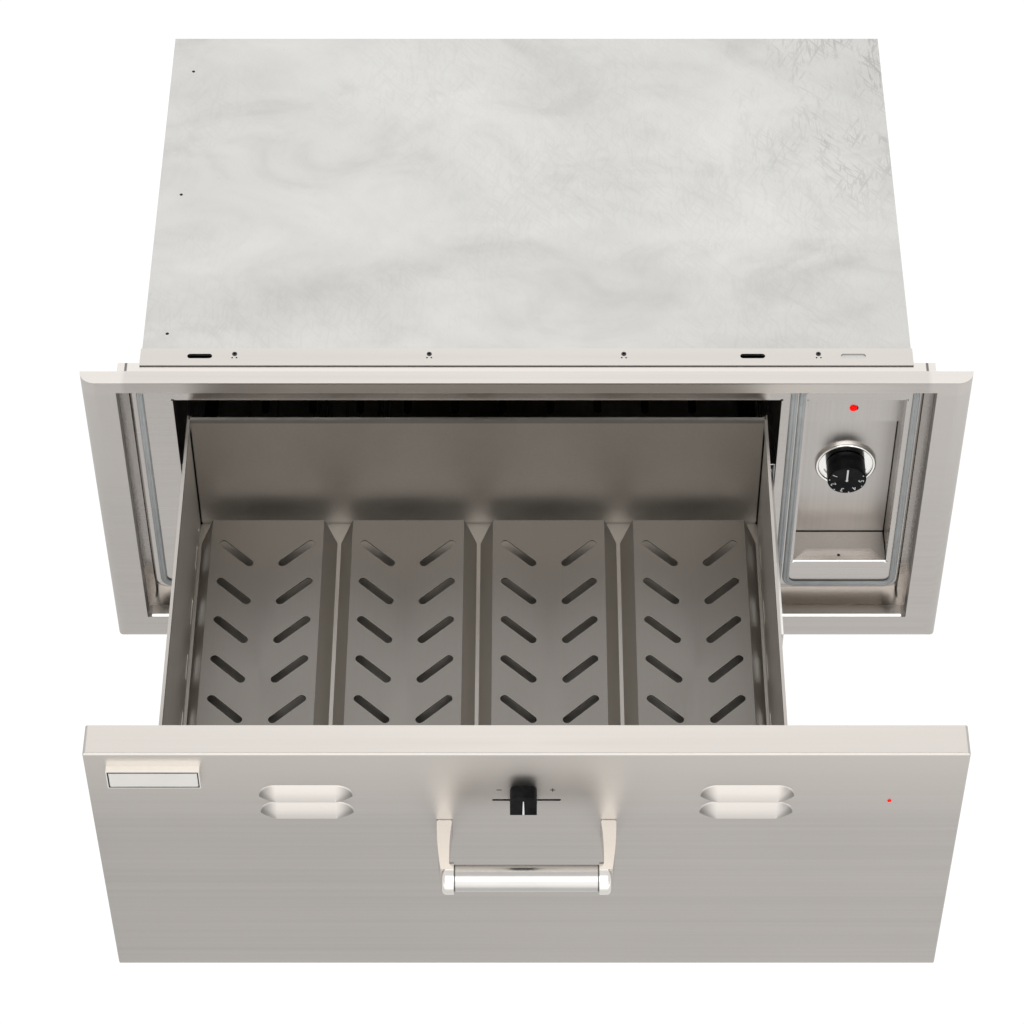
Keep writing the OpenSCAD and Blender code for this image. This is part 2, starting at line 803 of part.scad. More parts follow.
// The top blanket starts behind the mounting slots, which stay free for their screws
module insulation_top() {
    color(c_blanket)
        block([-inside_x + 1, compartment_x[0]], [collar_y[1] + 50, rear_y - 14],
              [liner_outer_z[1] + fit, cabinet_h - sheet - 2.2]);
}

module insulation_left() {
    color(c_blanket)
        block([-inside_x + 1.2, liner_outer_x[0] - fit], [collar_y[1], liner_back_y + liner_sheet],
              [liner_outer_z[0], liner_outer_z[1]]);
}

module insulation_right() {
    color(c_blanket)
        difference() {
            block([liner_outer_x[1] + fit, compartment_x[0]], [pocket_back_y + 4, liner_back_y + liner_sheet],
                  [liner_outer_z[0], liner_outer_z[1]]);
            for (y = [element_y0, element_y1])
                rod_x([liner_outer_x[1] - cut, compartment_x[0] + cut], y, element_z, element_d / 2 + 0.5);
            rod_x([liner_outer_x[1] - cut, compartment_x[0] + cut], bulb_y[1] + 20, bulb_z, 1.5);
        }
}

module insulation_bottom() {
    color(c_blanket)
        block([-inside_x + sheet + fit, compartment_x[0]], [collar_y[1], rear_y - 14],
              [sheet + fit, liner_outer_z[0] - fit]);
}

module insulation_rear() {
    color(c_blanket)
        block([liner_outer_x[0], compartment_x[0]],
              [liner_back_y + liner_sheet + fit, liner_back_y + liner_sheet + fit + blanket],
              [liner_outer_z[0], liner_outer_z[1]]);
}

// ---------- control pocket ----------

// Side view of the pocket, stepped forward over the lamp
module pocket_profile(grow, y0) {
    rect([y0, pocket_back_y + grow], [pocket_wall_z[0] - grow, lamp_step_z + grow]);
    rect([y0, lamp_face_y + grow], [pocket_wall_z[0] - grow, pocket_wall_z[1] + grow]);
}

module control_pocket() {
    y0 = platform_y + sheet;
    color(c_steel)
        difference() {
            translate([pocket_wall_x[0] - pocket_sheet, 0, 0])
                rotate([90, 0, 90])
                    linear_extrude(pocket_wall_x[1] - pocket_wall_x[0] + 2 * pocket_sheet)
                        pocket_profile(pocket_sheet, y0);
            translate([pocket_wall_x[0], 0, 0])
                rotate([90, 0, 90])
                    linear_extrude(pocket_wall_x[1] - pocket_wall_x[0])
                        pocket_profile(0, y0 - cut);
            rod_y(control_x, knob_z, [pocket_back_y - cut, pocket_back_y + 2], panel_hole_r);
            for (side = [-1, 1])
                rod_y(control_x + side * bezel_screw_x, knob_z, [pocket_back_y - cut, pocket_back_y + 2], 1.7);
            rod_y(control_x, lamp_z, [lamp_face_y - cut, lamp_face_y + 2], lamp_hole_r);
            translate([control_x - 1, platform_y + 8, bay_z[0] - 4])
                cylinder(h = 4, r = 1.5);
        }
}

module lamp_lens() {
    color(c_red)
        translate([control_x + lens_shift, lamp_face_y, lamp_z])
            rotate([90, 0, 0])
                rotate_extrude()
                    intersection() {
                        translate([0, -1.5])
                            circle(lamp_d / 2 + 0.9);
                        translate([0, -pocket_sheet])
                            square([lamp_d / 2 - fit, 4]);
                    }
}

module lamp_body() {
    y0 = lamp_face_y + pocket_sheet;
    color(c_black) {
        rod_y(control_x, lamp_z, [y0, y0 + 2.5], 6);
        rod_y(control_x, lamp_z, [y0 + 2, y0 + 20], 4.6);
    }
    color(c_brass)
        for (side = [-1, 1])
            block([control_x + side * 2.4 - 0.4, control_x + side * 2.4 + 0.4], [y0 + 19.5, y0 + 27],
                  [lamp_z - 1.6, lamp_z + 1.6]);
}

module knob_bezel() {
    r1 = bezel_d / 2;
    r0 = r1 - bezel_ring;
    color(c_bright)
        translate([control_x, pocket_back_y, knob_z])
            difference() {
                rotate([90, 0, 0])
                    rotate_extrude($fn = 96) {
                        translate([panel_hole_r, 0])
                            square([r0 - panel_hole_r + 0.5, bezel_plate]);
                        translate([r0, 0])
                            square([bezel_ring, 3.6 - bezel_ring / 2]);
                        translate([r0 + bezel_ring / 2, 3.6 - bezel_ring / 2])
                            circle(bezel_ring / 2);
                    }
                for (side = [-1, 1]) {
                    rod_y(side * bezel_screw_x, 0, [-2, 2], 1.7);
                    // curved slot beside the knob, low down
                    upright([-2, 2])
                        bezel_slot(side);
                }
            }
}

// One of the two curved slots in the bezel's plate
module bezel_slot(side) {
    reach = bezel_d;
    intersection() {
        difference() {
            circle(knob_d / 2 + 3.4);
            circle(knob_d / 2 + 1.8);
        }
        polygon([[0, 0], [side * reach * cos(20), -reach * sin(20)], [side * reach * cos(50), -reach * sin(50)]]);
    }
}

module thermostat() {
    plate = 1.2;
    color(c_bright)
        difference() {
            union() {
                block([control_x - 26, control_x + 26], [therm_y, therm_y + plate], [knob_z - 12, knob_z + 12]);
                rod_y(control_x, knob_z, [therm_y + plate / 2, therm_y + 9], 6);
            }
            rod_y(control_x, knob_z, [therm_y - cut, therm_y + 30], shaft_d / 2 + 0.05);
            for (side = [-1, 1])
                rod_y(control_x + side * bezel_screw_x, knob_z, [therm_y - cut, therm_y + 3], 1.4);
        }
    color(c_ceramic)
        difference() {
            block([control_x - therm_w / 2, control_x + therm_w / 2], [therm_y + 8, therm_y + 34],
                  [knob_z - therm_w / 2, knob_z + therm_w / 2]);
            rod_y(control_x, knob_z, [therm_y, therm_y + 20], shaft_d / 2 + 0.05);
        }
    // the two screws that hold the plate through the bezel
    color(c_dark_steel)
        for (side = [-1, 1]) {
            rod_y(control_x + side * bezel_screw_x, knob_z,
                  [pocket_back_y - bezel_plate - 0.4, therm_y + 4], 1.38);
            rod_y(control_x + side * bezel_screw_x, knob_z,
                  [pocket_back_y - bezel_plate - 1.4, pocket_back_y - bezel_plate], 2.6);
        }
    color(c_brass)
        for (x = [-12, 12], z = [-10, 10])
            block([control_x + x - 3, control_x + x + 3], [therm_y + 33.5, therm_y + 42],
                  [knob_z + z - 0.4, knob_z + z + 0.4]);
}

module sensor_bulb() {
    capillary = 1;
    color(c_brass) {
        rod_y(bulb_x, bulb_z, bulb_y, bulb_d / 2);
        run([[bulb_x, bulb_y[1] - 1, bulb_z], [bulb_x, bulb_y[1] + 8, bulb_z],
             [bulb_x, bulb_y[1] + 20, bulb_z], [compartment_x[0] + 12, bulb_y[1] + 20, bulb_z],
             [compartment_x[0] + 12, therm_y + 60, knob_z - 15],
             [control_x, therm_y + 50, knob_z - 15], [control_x, therm_y + 34, knob_z - 15]], capillary);
    }
    // clips on the liner's wall
    color(c_bright)
        for (y = [bulb_y[0] + 15, bulb_y[1] - 15])
            difference() {
                block([bulb_x - bulb_d / 2 - 1, bay_x[1]], [y - 4, y + 4],
                      [bulb_z - bulb_d / 2 - 1, bulb_z + bulb_d / 2 + 1]);
                rod_y(bulb_x, bulb_z, [y - 5, y + 5], bulb_d / 2);
                block([bulb_x, bay_x[1] - 1], [y - 5, y + 5], [bulb_z - bulb_d / 2, bulb_z + bulb_d / 2]);
            }
}

// ---------- heating ----------

// One half turn of the element, opening towards +X or -X
module element_turn(x, y, side) {
    translate([x, y, element_z])
        intersection() {
            rotate_extrude()
                translate([element_bend, 0])
                    circle(element_d / 2);
            block(side > 0 ? [0, 2 * element_bend] : [-2 * element_bend, 0],
                  [-2 * element_bend, 2 * element_bend], [-element_d, element_d]);
        }
}

module heating_element() {
    r = element_d / 2;
    color(c_dark_steel) {
        rod_x([element_x[0], element_end_x], element_y0, element_z, r);
        rod_x([element_x[0], element_x[1]], element_y0 + 2 * element_bend, element_z, r);
        rod_x([element_x[0], element_x[1]], element_y0 + 4 * element_bend, element_z, r);
        rod_x([element_x[0], element_end_x], element_y1, element_z, r);
        element_turn(element_x[0], element_y0 + element_bend, -1);
        element_turn(element_x[1], element_y0 + 3 * element_bend, 1);
        element_turn(element_x[0], element_y0 + 5 * element_bend, -1);
    }
    color(c_brass)
        for (y = [element_y0, element_y1])
            rod_x([element_end_x, element_end_x + 10], y, element_z, 2);
}

module element_supports() {
    y = [element_y0 - 20, element_y1 + 20];
    color(c_steel)
        for (x = [element_x[0] + 60, element_x[1] - 60])
            difference() {
                union() {
                    block([x - 0.6, x + 0.6], y, [bay_z[0], element_z + 2]);
                    block([x - 0.6, x + 14], y, [bay_z[0], bay_z[0] + 1.2]);
                }
                for (i = [0 : 3])
                    translate([0, element_y0 + 2 * i * element_bend, 0]) {
                        rod_x([x - 2, x + 2], 0, element_z, element_d / 2 + fit);
                        block([x - 2, x + 2], [-element_d / 2 - fit, element_d / 2 + fit],
                              [element_z, element_z + 4]);
                    }
            }
}

module heat_shield() {
    x = [bay_x[0] + 18, bay_x[1] - 24];
    y = [element_y0 - 40, element_y1 + 50];
    z = bay_z[0] + shield_rise;
    color(c_steel)
        difference() {
            union() {
                block(x, y, [z, z + 1]);
                for (lx = x, ly = [y[0] + 10, y[1] - 30])
                    block([lx == x[0] ? lx : lx - 1, lx == x[0] ? lx + 1 : lx], [ly, ly + 20], [bay_z[0], z + 0.5]);
            }
            for (i = [0 : 9], j = [0 : 3])
                translate([x[0] + 45 + i * 45, y[0] + 45 + j * 60, z - cut])
                    linear_extrude(3)
                        rotate(90)
                            obround(36, 7);
        }
}

// ---------- wiring ----------

module terminal_block() {
    color(c_black)
        difference() {
            block(block_x, block_y, [sheet, block_z]);
            for (i = [0 : 3])
                translate([block_x[0] + 9 + 11 * i, (block_y[0] + block_y[1]) / 2, block_z - 6])
                    cylinder(h = 10, r = 3);
        }
    color(c_brass)
        for (i = [0 : 3])
            translate([block_x[0] + 9 + 11 * i, (block_y[0] + block_y[1]) / 2, block_z - 6])
                cylinder(h = 3, r = 2.6);
}

module power_inlet() {
    pins = [[-7, -2], [0, 4], [7, -2]];
    color(c_black)
        difference() {
            union() {
                upright([rear_y, rear_y + 3])
                    translate([inlet_x, inlet_z])
                        soft_rect([-25, 25], [-13.5, 13.5], 5);
                upright([rear_y - 22, rear_y + 1])
                    translate([inlet_x, inlet_z])
                        square([inlet_w - 0.4, inlet_h - 0.4], center = true);
            }
            upright([rear_y - 14, rear_y + 5])
                translate([inlet_x, inlet_z])
                    square([24, 16.5], center = true);
            for (side = [-1, 1])
                rod_y(inlet_x + side * inlet_screw_x, inlet_z, [rear_y - 2, rear_y + 5], 1.6);
        }
    color(c_brass)
        for (pin = pins) {
            block([inlet_x + pin[0] - 1, inlet_x + pin[0] + 1], [rear_y - 16, rear_y - 2],
                  [inlet_z + pin[1] - 2, inlet_z + pin[1] + 2]);
            block([inlet_x + pin[0] - 1, inlet_x + pin[0] + 1], [rear_y - 32, rear_y - 21.5],
                  [inlet_z + pin[1] - 2, inlet_z + pin[1] + 2]);
        }
    color(c_bright)
        for (side = [-1, 1]) {
            rod_y(inlet_x + side * inlet_screw_x, inlet_z, [rear_y - 6, rear_y + 3], 1.5);
            rod_y(inlet_x + side * inlet_screw_x, inlet_z, [rear_y + 3, rear_y + 4.6], 3);
        }
}

module wire_harness() {
    wire_r = 1.2;
    low = 14;
    slot = [for (i = [0 : 3]) block_x[0] + 9 + 11 * i];
    tab_y = rear_y - 32;
    color(c_black) {
        // supply, from the inlet's tabs to the block
        for (wire = [[slot[0], -7], [slot[2], 7]])
            run([[wire[0], block_y[1], low], [wire[0], block_y[1] + 18, low],
                 [inlet_x + wire[1], tab_y - 16, inlet_z - 2], [inlet_x + wire[1], tab_y, inlet_z - 2]], wire_r);
        // from the block to the thermostat
        for (wire = [[slot[1], -12], [slot[3], 12]])
            run([[wire[0], block_y[0], low], [wire[0], block_y[0] - 30, low],
                 [control_x + wire[1], therm_y + 70, knob_z - 10],
                 [control_x + wire[1], therm_y + 42, knob_z - 10]], wire_r);
        // from the heating element's ends to the block
        run([[element_end_x + 10, element_y0, element_z], [element_end_x + 16, element_y0, element_z],
             [element_end_x + 16, element_y0, 40], [slot[0], block_y[0] - 15, low],
             [slot[0], block_y[0], low]], wire_r);
        run([[element_end_x + 10, element_y1, element_z], [slot[2], element_y1, element_z],
             [slot[2], element_y1, low], [slot[2], block_y[0], low]], wire_r);
        // from the thermostat up to the pilot lamp
        for (side = [-1, 1])
            run([[control_x + side * 2.4, lamp_face_y + pocket_sheet + 27, lamp_z],
                 [control_x + side * 2.4, therm_y + 58, lamp_z],
                 [control_x + side * 12, therm_y + 58, knob_z + 10],
                 [control_x + side * 12, therm_y + 42, knob_z + 10]], 0.9);
    }
}

// ---------- slides ----------

// Cross-section of one slide member: a web against a wall and two flanges, X away from the wall
module channel(depth, height, x0) {
    translate([x0, -height / 2]) {
        square([slide_wall, height]);
        square([depth, slide_wall]);
        translate([0, height - slide_wall])
            square([depth, slide_wall]);
    }
}

// A member drawn between two depths, on the left (1) or the right (-1) wall of the bay
module slide_member(side, y) {
    translate([side > 0 ? bay_x[0] : bay_x[1], y[1], slide_z])
        mirror([side > 0 ? 0 : 1, 0, 0])
            rotate([90, 0, 0])
                linear_extrude(y[1] - y[0])
                    children();
}

module slide_rails() {
    color(c_bright)
        for (side = [1, -1])
            slide_member(side, [slide_y0, slide_y0 + slide_l])
                channel(slide_t - 2.4, slide_h, 0);
}

module slide_middle(side) {
    y = [slide_y0 - middle_back, slide_y0 + slide_l - middle_back];
    color(c_bright)
        slide_member(side, y)
            channel(slide_t - 4.6, middle_h, slide_wall + 1);
}

module slide_middle_left() {
    slide_middle(1);
}

module slide_middle_right() {
    slide_middle(-1);
}

module slide_inners() {
    y = [slide_y0 - travel, slide_y0 + slide_l - travel];
    color(c_bright)
        for (side = [1, -1])
            slide_member(side, y)
                translate([slide_t, 0])
                    mirror([1, 0])
                        channel(slide_t - 4.6, inner_h, 0);
}

// Balls in their retainer strips, between two members, over a stretch of the middle member
module ball_row(side, y, height) {
    count = 6;
    x = slide_t / 2 + 0.2;
    wall = side > 0 ? bay_x[0] : bay_x[1];
    for (end = [-1, 1]) {
        z = slide_z + end * (height / 2 + race_gap / 2);
        block([wall + side * x - 2.2, wall + side * x + 2.2], y, [z - 0.4, z + 0.4]);
        for (i = [0 : count - 1])
            translate([wall + side * x, y[0] + 6 + i * (y[1] - y[0] - 12) / (count - 1), z])
                sphere(ball_d / 2);
    }
}

module slide_balls(side) {
    low = slide_y0 + 4;
    high = slide_y0 + slide_l - middle_back - 4;
    color(c_bright) {
        ball_row(side, [low, high - travel / 2 + middle_back], middle_h);
        ball_row(side, [slide_y0 - middle_back + 4, slide_y0 + slide_l - travel - 4], inner_h);
    }
}

module slide_balls_left() {
    slide_balls(1);
}

module slide_balls_right() {
    slide_balls(-1);
}

// ---------- drawer front ----------

// A louvre's profile, its height over the mouth along X and how far it stands out along Y
module louvre_profile(inset, back, drop) {
    intersection() {
        translate([-louvre_r * sin(louvre_tilt), louvre_out - louvre_r * cos(louvre_tilt)])
            circle(louvre_r - inset);
        rect([-drop, louvre_h], [-back, louvre_out]);
    }
}

// A louvre with round ends, cut off level at its mouth and back to a depth behind the face
module louvre_dome(x, z, inset, back, drop) {
    half = louvre_w / 2 - louvre_h;
    intersection() {
        translate([x, face_y, z]) {
            translate([-half, 0, 0])
                rotate([180, 0, 0])
                    rotate([0, 90, 0])
                        linear_extrude(2 * half)
                            louvre_profile(inset, back, drop);
            for (side = [-1, 1])
                translate([side * half, 0, 0])
                    rotate([90, 0, 0])
                        rotate_extrude()
                            louvre_profile(inset, back, 0);
        }
        block([x - louvre_w, x + louvre_w], [face_y - louvre_out - cut, face_y + back],
              [z - drop, z + louvre_h + cut]);
    }
}

module front_skin() {
    inner_x = front_w / 2 - drawer_sheet;
    color(c_steel)
        difference() {
            union() {
                front_pan([-front_w / 2, front_w / 2], [face_y, front_back_y], front_z,
                          front_corner, front_fold);
                for (side = [-1, 1], row = [0, 1])
                    louvre_dome(side * louvre_x, louvre_z + row * louvre_pitch, 0, drawer_sheet / 2, 0);
            }
            upright([face_y + drawer_sheet, front_back_y + cut])
                soft_rect([-inner_x, inner_x], [front_z[0] + drawer_sheet, front_z[1] - drawer_sheet],
                          front_corner - drawer_sheet);
            // the louvres are hollow and open downwards
            for (side = [-1, 1], row = [0, 1])
                louvre_dome(side * louvre_x, louvre_z + row * louvre_pitch, louvre_skin,
                            2 * drawer_sheet, louvre_skin / 2);
            upright([face_y - cut, face_y + 2 * drawer_sheet]) {
                translate([0, vent_slot_z])
                    obround(vent_slot_l, vent_slot_h);
                translate([control_x, lamp_z])
                    circle(window_d / 2 + fit);
                for (side = [-1, 1])
                    translate([side * post_mid_x, handle_z])
                        circle(2.6);
            }
        }
}

module front_liner() {
    x = front_w / 2 - drawer_sheet;
    z = [front_z[0] + drawer_sheet, front_z[1] - drawer_sheet];
    flange = 8;
    corner = front_corner - drawer_sheet;
    color(c_steel)
        difference() {
            upright([liner_front_y, liner_face_y + flange])
                soft_rect([-x, x], z, corner);
            upright([liner_face_y, liner_face_y + flange + cut])
                rect([-x + drawer_sheet, x - drawer_sheet], [z[0] + drawer_sheet, z[1] - drawer_sheet]);
            upright([liner_front_y - cut, liner_face_y + cut]) {
                vent_windows(0);
                translate([control_x, lamp_z])
                    circle(window_d / 2 + fit);
            }
        }
}

// The vent windows, shifted sideways
module vent_windows(shift) {
    for (side = [-1, 1], i = [-1, 0, 1]) {
        x = side * louvre_x + i * vent_window_pitch + shift;
        rect([x - vent_window_w / 2, x + vent_window_w / 2], vent_window_z);
    }
}

module front_insulation() {
    margin = 6;
    color(c_blanket)
        upright([face_y + drawer_sheet + fit, liner_front_y - fit])
            difference() {
                rect([-front_w / 2 + margin, front_w / 2 - margin], [front_z[0] + margin, front_z[1] - margin]);
                rect([-shutter_half - vent_travel - 6, shutter_half + vent_travel + 6],
                     [shutter_z[0] - 8, shutter_z[1] + 8]);
                translate([control_x, lamp_z])
                    circle(3);
                for (side = [-1, 1])
                    translate([side * post_mid_x, handle_z])
                        circle(7);
            }
}

module shutter_guides() {
    color(c_bright)
        for (z = shutter_z) {
            up = z == shutter_z[0] ? -1 : 1;
            out = z + up * 6;
            lap = z - up * 2;
            for (side = [-1, 1])
                mirror([side > 0 ? 0 : 1, 0, 0]) {
                    block(guide_x, [liner_front_y - 1, liner_front_y],
                          [min(z + up * 0.3, out), max(z + up * 0.3, out)]);
                    block(guide_x, [liner_front_y - 2.2, liner_front_y - 1.2],
                          [min(lap, out), max(lap, out)]);
                    block(guide_x, [liner_front_y - 1.6, liner_front_y - 0.6],
                          [min(z + up * 1.5, out), max(z + up * 1.5, out)]);
                }
        }
}

module moisture_shutter() {
    color(c_steel)
        upright(shutter_y)
            difference() {
                rect([-shutter_half, shutter_half] + [vent_knob_x, vent_knob_x], shutter_z);
                vent_windows(vent_knob_x + vent_travel);
            }
}

module moisture_knob() {
    z0 = vent_slot_z - 4.9;
    r = vent_knob_w / 2;
    x = vent_knob_x;
    color(c_black) {
        difference() {
            upright([face_y - vent_knob_out, face_y - 0.2]) {
                rect([x - r, x + r], [z0, z0 + vent_knob_h - 6]);
                soft_rect([x - r, x + r], [z0 + 4, z0 + vent_knob_h], 6);
            }
            // groove for the white pointer line
            block([x - 0.9, x + 0.9], [face_y - vent_knob_out - cut, face_y - vent_knob_out + 0.5],
                  [z0 - cut, z0 + vent_knob_h - 6]);
        }
        block([x - blade_w / 2, x + blade_w / 2], [face_y - 0.3, shutter_y[0]],
              [vent_slot_z - vent_slot_h / 2 + 0.2, vent_slot_z + vent_slot_h / 2 - 0.2]);
        // shoulder behind the skin, which keeps the knob in its slot
        block([x - blade_w / 2 - 2, x + blade_w / 2 + 2], [face_y + drawer_sheet + 0.3, face_y + drawer_sheet + 2.3],
              [vent_slot_z - 5, vent_slot_z + 5]);
    }
}

module badge_plate() {
    border = 1.6;
    x = [badge_x0, badge_x0 + badge_w];
    z = [badge_z0, badge_z0 + badge_h];
    color(c_bright)
        difference() {
            block(x, [face_y - badge_t, face_y], z);
            upright([face_y - badge_t - cut, face_y - badge_t + 0.4])
                difference() {
                    rect([x[0] + border, x[1] - border], [z[0] + border, z[1] - border]);
                    rect([x[0] + 2.4, x[1] - 2.4], [z[0] + 2.4, z[1] - 2.4]);
                }
        }
}

module front_window() {
    color(c_red)
        rod_y(control_x, lamp_z, [face_y - 0.4, liner_face_y], window_d / 2);
}

// ---------- handle ----------

module handle_tube() {
    half = handle_l / 2;
    color(c_bright)
        difference() {
            rod_x([-half, half], handle_y, handle_z, handle_d / 2);
            rod_x([-half - cut, half + cut], handle_y, handle_z, handle_d / 2 - tube_wall);
        }
}

// A post seen from above, on the right, from its neck at the panel out to its head
module post_plan() {
    inner = handle_l / 2;
    foot = [post_mid_x - post_w / 2, post_mid_x + post_w / 2];
    waist_y = -handle_out + 7.8;
    polygon([[foot[0], -post_foot_gap], [foot[1], -post_foot_gap],
             for (t = [0.1 : 0.1 : 1]) [foot[1] - 3.9 * t * t, -handle_out * t],
             [inner, -handle_out],
             for (a = [90 : -15 : 0]) [inner + post_waist * cos(a), waist_y - 6.2 * sin(a)],
             [inner + post_waist, -24], [inner + post_waist - 0.6, -12]]);
}

module handle_post(side) {
    inner = handle_l / 2;
    soft = 4;
    neck = 0.6;
    mirror([side > 0 ? 0 : 1, 0, 0])
        difference() {
            union() {
                block([post_mid_x - post_w / 2 + neck, post_mid_x + post_w / 2 - neck],
                      [face_y - post_foot_gap, face_y], [handle_z - head_r + neck, handle_z + head_r - neck]);
                intersection() {
                    translate([0, face_y, handle_z - head_r])
                        linear_extrude(2 * head_r)
                            post_plan();
                    union() {
                        block([0, 2 * inner], [handle_y, face_y], [handle_z - head_r, handle_z + head_r]);
                        rod_x([0, 2 * inner], handle_y, handle_z, head_r);
                    }
                }
                translate([inner, handle_y, handle_z])
                    rotate([0, 90, 0])
                        rotate_extrude($fn = 64) {
                            square([head_r, head_w - soft]);
                            square([head_r - soft, head_w]);
                            translate([head_r - soft, head_w - soft])
                                circle(soft);
                        }
            }
            rod_y(post_mid_x, handle_z, [face_y - 20, face_y + cut], 2.55);
        }
}

module handle_post_left() {
    color(c_bright)
        handle_post(-1);
}

module handle_post_right() {
    color(c_bright)
        handle_post(1);
}

module handle_screws() {
    color(c_dark_steel)
        for (side = [-1, 1]) {
            rod_y(side * post_mid_x, handle_z, [face_y - 18, face_y + drawer_sheet + 1], 2.45);
            rod_y(side * post_mid_x, handle_z, [face_y + drawer_sheet, face_y + drawer_sheet + 4], 5);
        }
}

// ---------- drawer box ----------

module drawer_box() {
    outer_z = [box_floor_z - drawer_sheet, box_top_z];
    inner_x = [box_x[0] + drawer_sheet, box_x[1] - drawer_sheet];
    wall_end = box_y[1] + wall_past_back;
    side_slots = floor((box_l - 60) / 62);
    color(c_steel)
        difference() {
            union() {
                block(box_x, [box_y[0], wall_end], outer_z);
                // flange against the front's liner
                block([box_x[0] + 14, box_x[1] - 14], [box_y[0], box_y[0] + drawer_sheet],
                      [outer_z[0] - 12, outer_z[0] + 1]);
            }
            block(inner_x, [box_y[0] - cut, wall_end + cut], [box_floor_z, box_top_z + cut]);
            // the floor ends at the back wall
            block(inner_x, [box_y[1], wall_end + cut], [outer_z[0] - cut, box_floor_z + cut]);
            for (i = [0 : side_slots - 1])
                translate([box_x[0] - cut, box_y[1] - 50 - i * 62, box_floor_z + 10])
                    rotate([90, 0, 90])
                        linear_extrude(box_x[1] - box_x[0] + 2 * cut)
                            obround(28, 5);
            rod_x([box_x[0] - cut, box_x[1] + cut], box_y[1] - 16, box_floor_z + 8, 2);
        }
    // hems folded inwards along the tops of the walls
    color(c_bright)
        for (x = [box_x[0] + drawer_sheet - fit, box_x[1] - hem_w])
            block([x, x + hem_w - drawer_sheet + fit], [box_y[0], box_y[1] - drawer_sheet],
                  [box_top_z - 8, box_top_z]);
}

// The back wall stands clear of the side walls by a seam and holds them by flanges behind it
module drawer_back() {
    wall = [box_x[0] + drawer_sheet, box_x[1] - drawer_sheet];
    x = [wall[0] + back_seam, wall[1] - back_seam];
    z = [box_floor_z, box_top_z - 1.5];
    flange_y = box_y[1] + wall_past_back - 0.5;
    color(c_steel)
        difference() {
            union() {
                block(x, [box_y[1] - drawer_sheet, box_y[1]], z);
                for (side = [0, 1]) {
                    block([side == 0 ? x[0] : x[1] - drawer_sheet, side == 0 ? x[0] + drawer_sheet : x[1]],
                          [box_y[1] - drawer_sheet, flange_y], z);
                    block([side == 0 ? wall[0] : x[1] - drawer_sheet, side == 0 ? x[0] + drawer_sheet : wall[1]],
                          [flange_y - drawer_sheet, flange_y], z);
                }
                block([x[0] + drawer_sheet, x[1] - drawer_sheet], [box_y[1] - drawer_sheet, box_y[1] + 2.6],
                      [z[1] - drawer_sheet, z[1]]);
            }
            for (cx = wall)
                rod_y(cx, box_floor_z, [box_y[1] - 3, box_y[1] + 6], 2.4);
        }
}

// Half a V of slots: round-ended, sloping from the outside inwards towards the front
module rack_slot(side) {
    translate([side * rack_slot_x, -38.65])
        rotate(side * 43.2)
            obround(rack_slot_l, rack_slot_w);
}

// One rack, an inverted channel whose flanges slope out
module rack(i) {
    x = box_mid_x + (i - (racks - 1) / 2) * rack_pitch;
    y1 = box_y[1] - drawer_sheet - rack_back_gap;
    t = drawer_sheet;
    top = rack_top_w / 2;
    foot = top + rack_slope;
    color(c_steel)
        difference() {
            translate([x, y1, box_floor_z])
                rotate([90, 0, 0])
                    linear_extrude(rack_l)
                        polygon([[-foot, 0], [-top, rack_h], [top, rack_h], [foot, 0], [foot - t, 0],
                                 [top - t / 2, rack_h - t], [-top + t / 2, rack_h - t], [-foot + t, 0]]);
            for (row = [0 : rack_rows - 1], side = [-1, 1])
                translate([x, y1 - row * rack_row_pitch, box_floor_z + rack_h - 2 * t])
                    linear_extrude(3 * t)
                        rack_slot(side);
            // the flanges' ends are cut at a slope
            for (side = [-1, 1], end = [0, 1])
                translate([x + side * (foot + 1), end == 0 ? y1 : y1 - rack_l, box_floor_z - 1])
                    mirror([side > 0 ? 1 : 0, 0, 0])
                        mirror([0, end == 0 ? 1 : 0, 0])
                            linear_extrude(rack_h - t)
                                polygon([[0, -1], [rack_slope + 0.6, -1], [0, 10]]);
        }
}

module rack_1() {
    rack(0);
}

module rack_2() {
    rack(1);
}

module rack_3() {
    rack(2);
}

module rack_4() {
    rack(3);
}

module box_rivets() {
    color(c_bright)
        for (side = [0, 1], share = [0.1, 0.53, 0.85])
            rod_x(side == 0 ? [box_x[0] - 0.8, box_x[0]] : [box_x[1], box_x[1] + 0.8],
                  box_y[0] + 14, box_floor_z + share * box_wall_h, 3);
}

// ---------- thermostat knob ----------

module thermostat_knob() {
    r = knob_d / 2;
    skirt = 1.2;
    color(c_black)
        translate([control_x, knob_front_y, knob_z])
            rotate([-90, 0, 0])
                difference() {
                    rotate_extrude($fn = 96)
                        difference() {
                            union() {
                                square([r - skirt, knob_l]);
                                translate([0, skirt])
                                    square([r, knob_l - skirt]);
                                translate([r - skirt, skirt])
                                    circle(skirt);
                            }
                            translate([shaft_d / 2 + 4, 3])
                                square([r - shaft_d / 2 - 4 - 2.4, knob_l]);
                        }
                    translate([0, 0, 3])
                        cylinder(h = knob_l, r = shaft_d / 2 + 0.02);
                }
}

module thermostat_shaft() {
    color(c_bright)
        rod_y(control_x, knob_z, [knob_front_y + 3.2, therm_y + 18], shaft_d / 2);
}

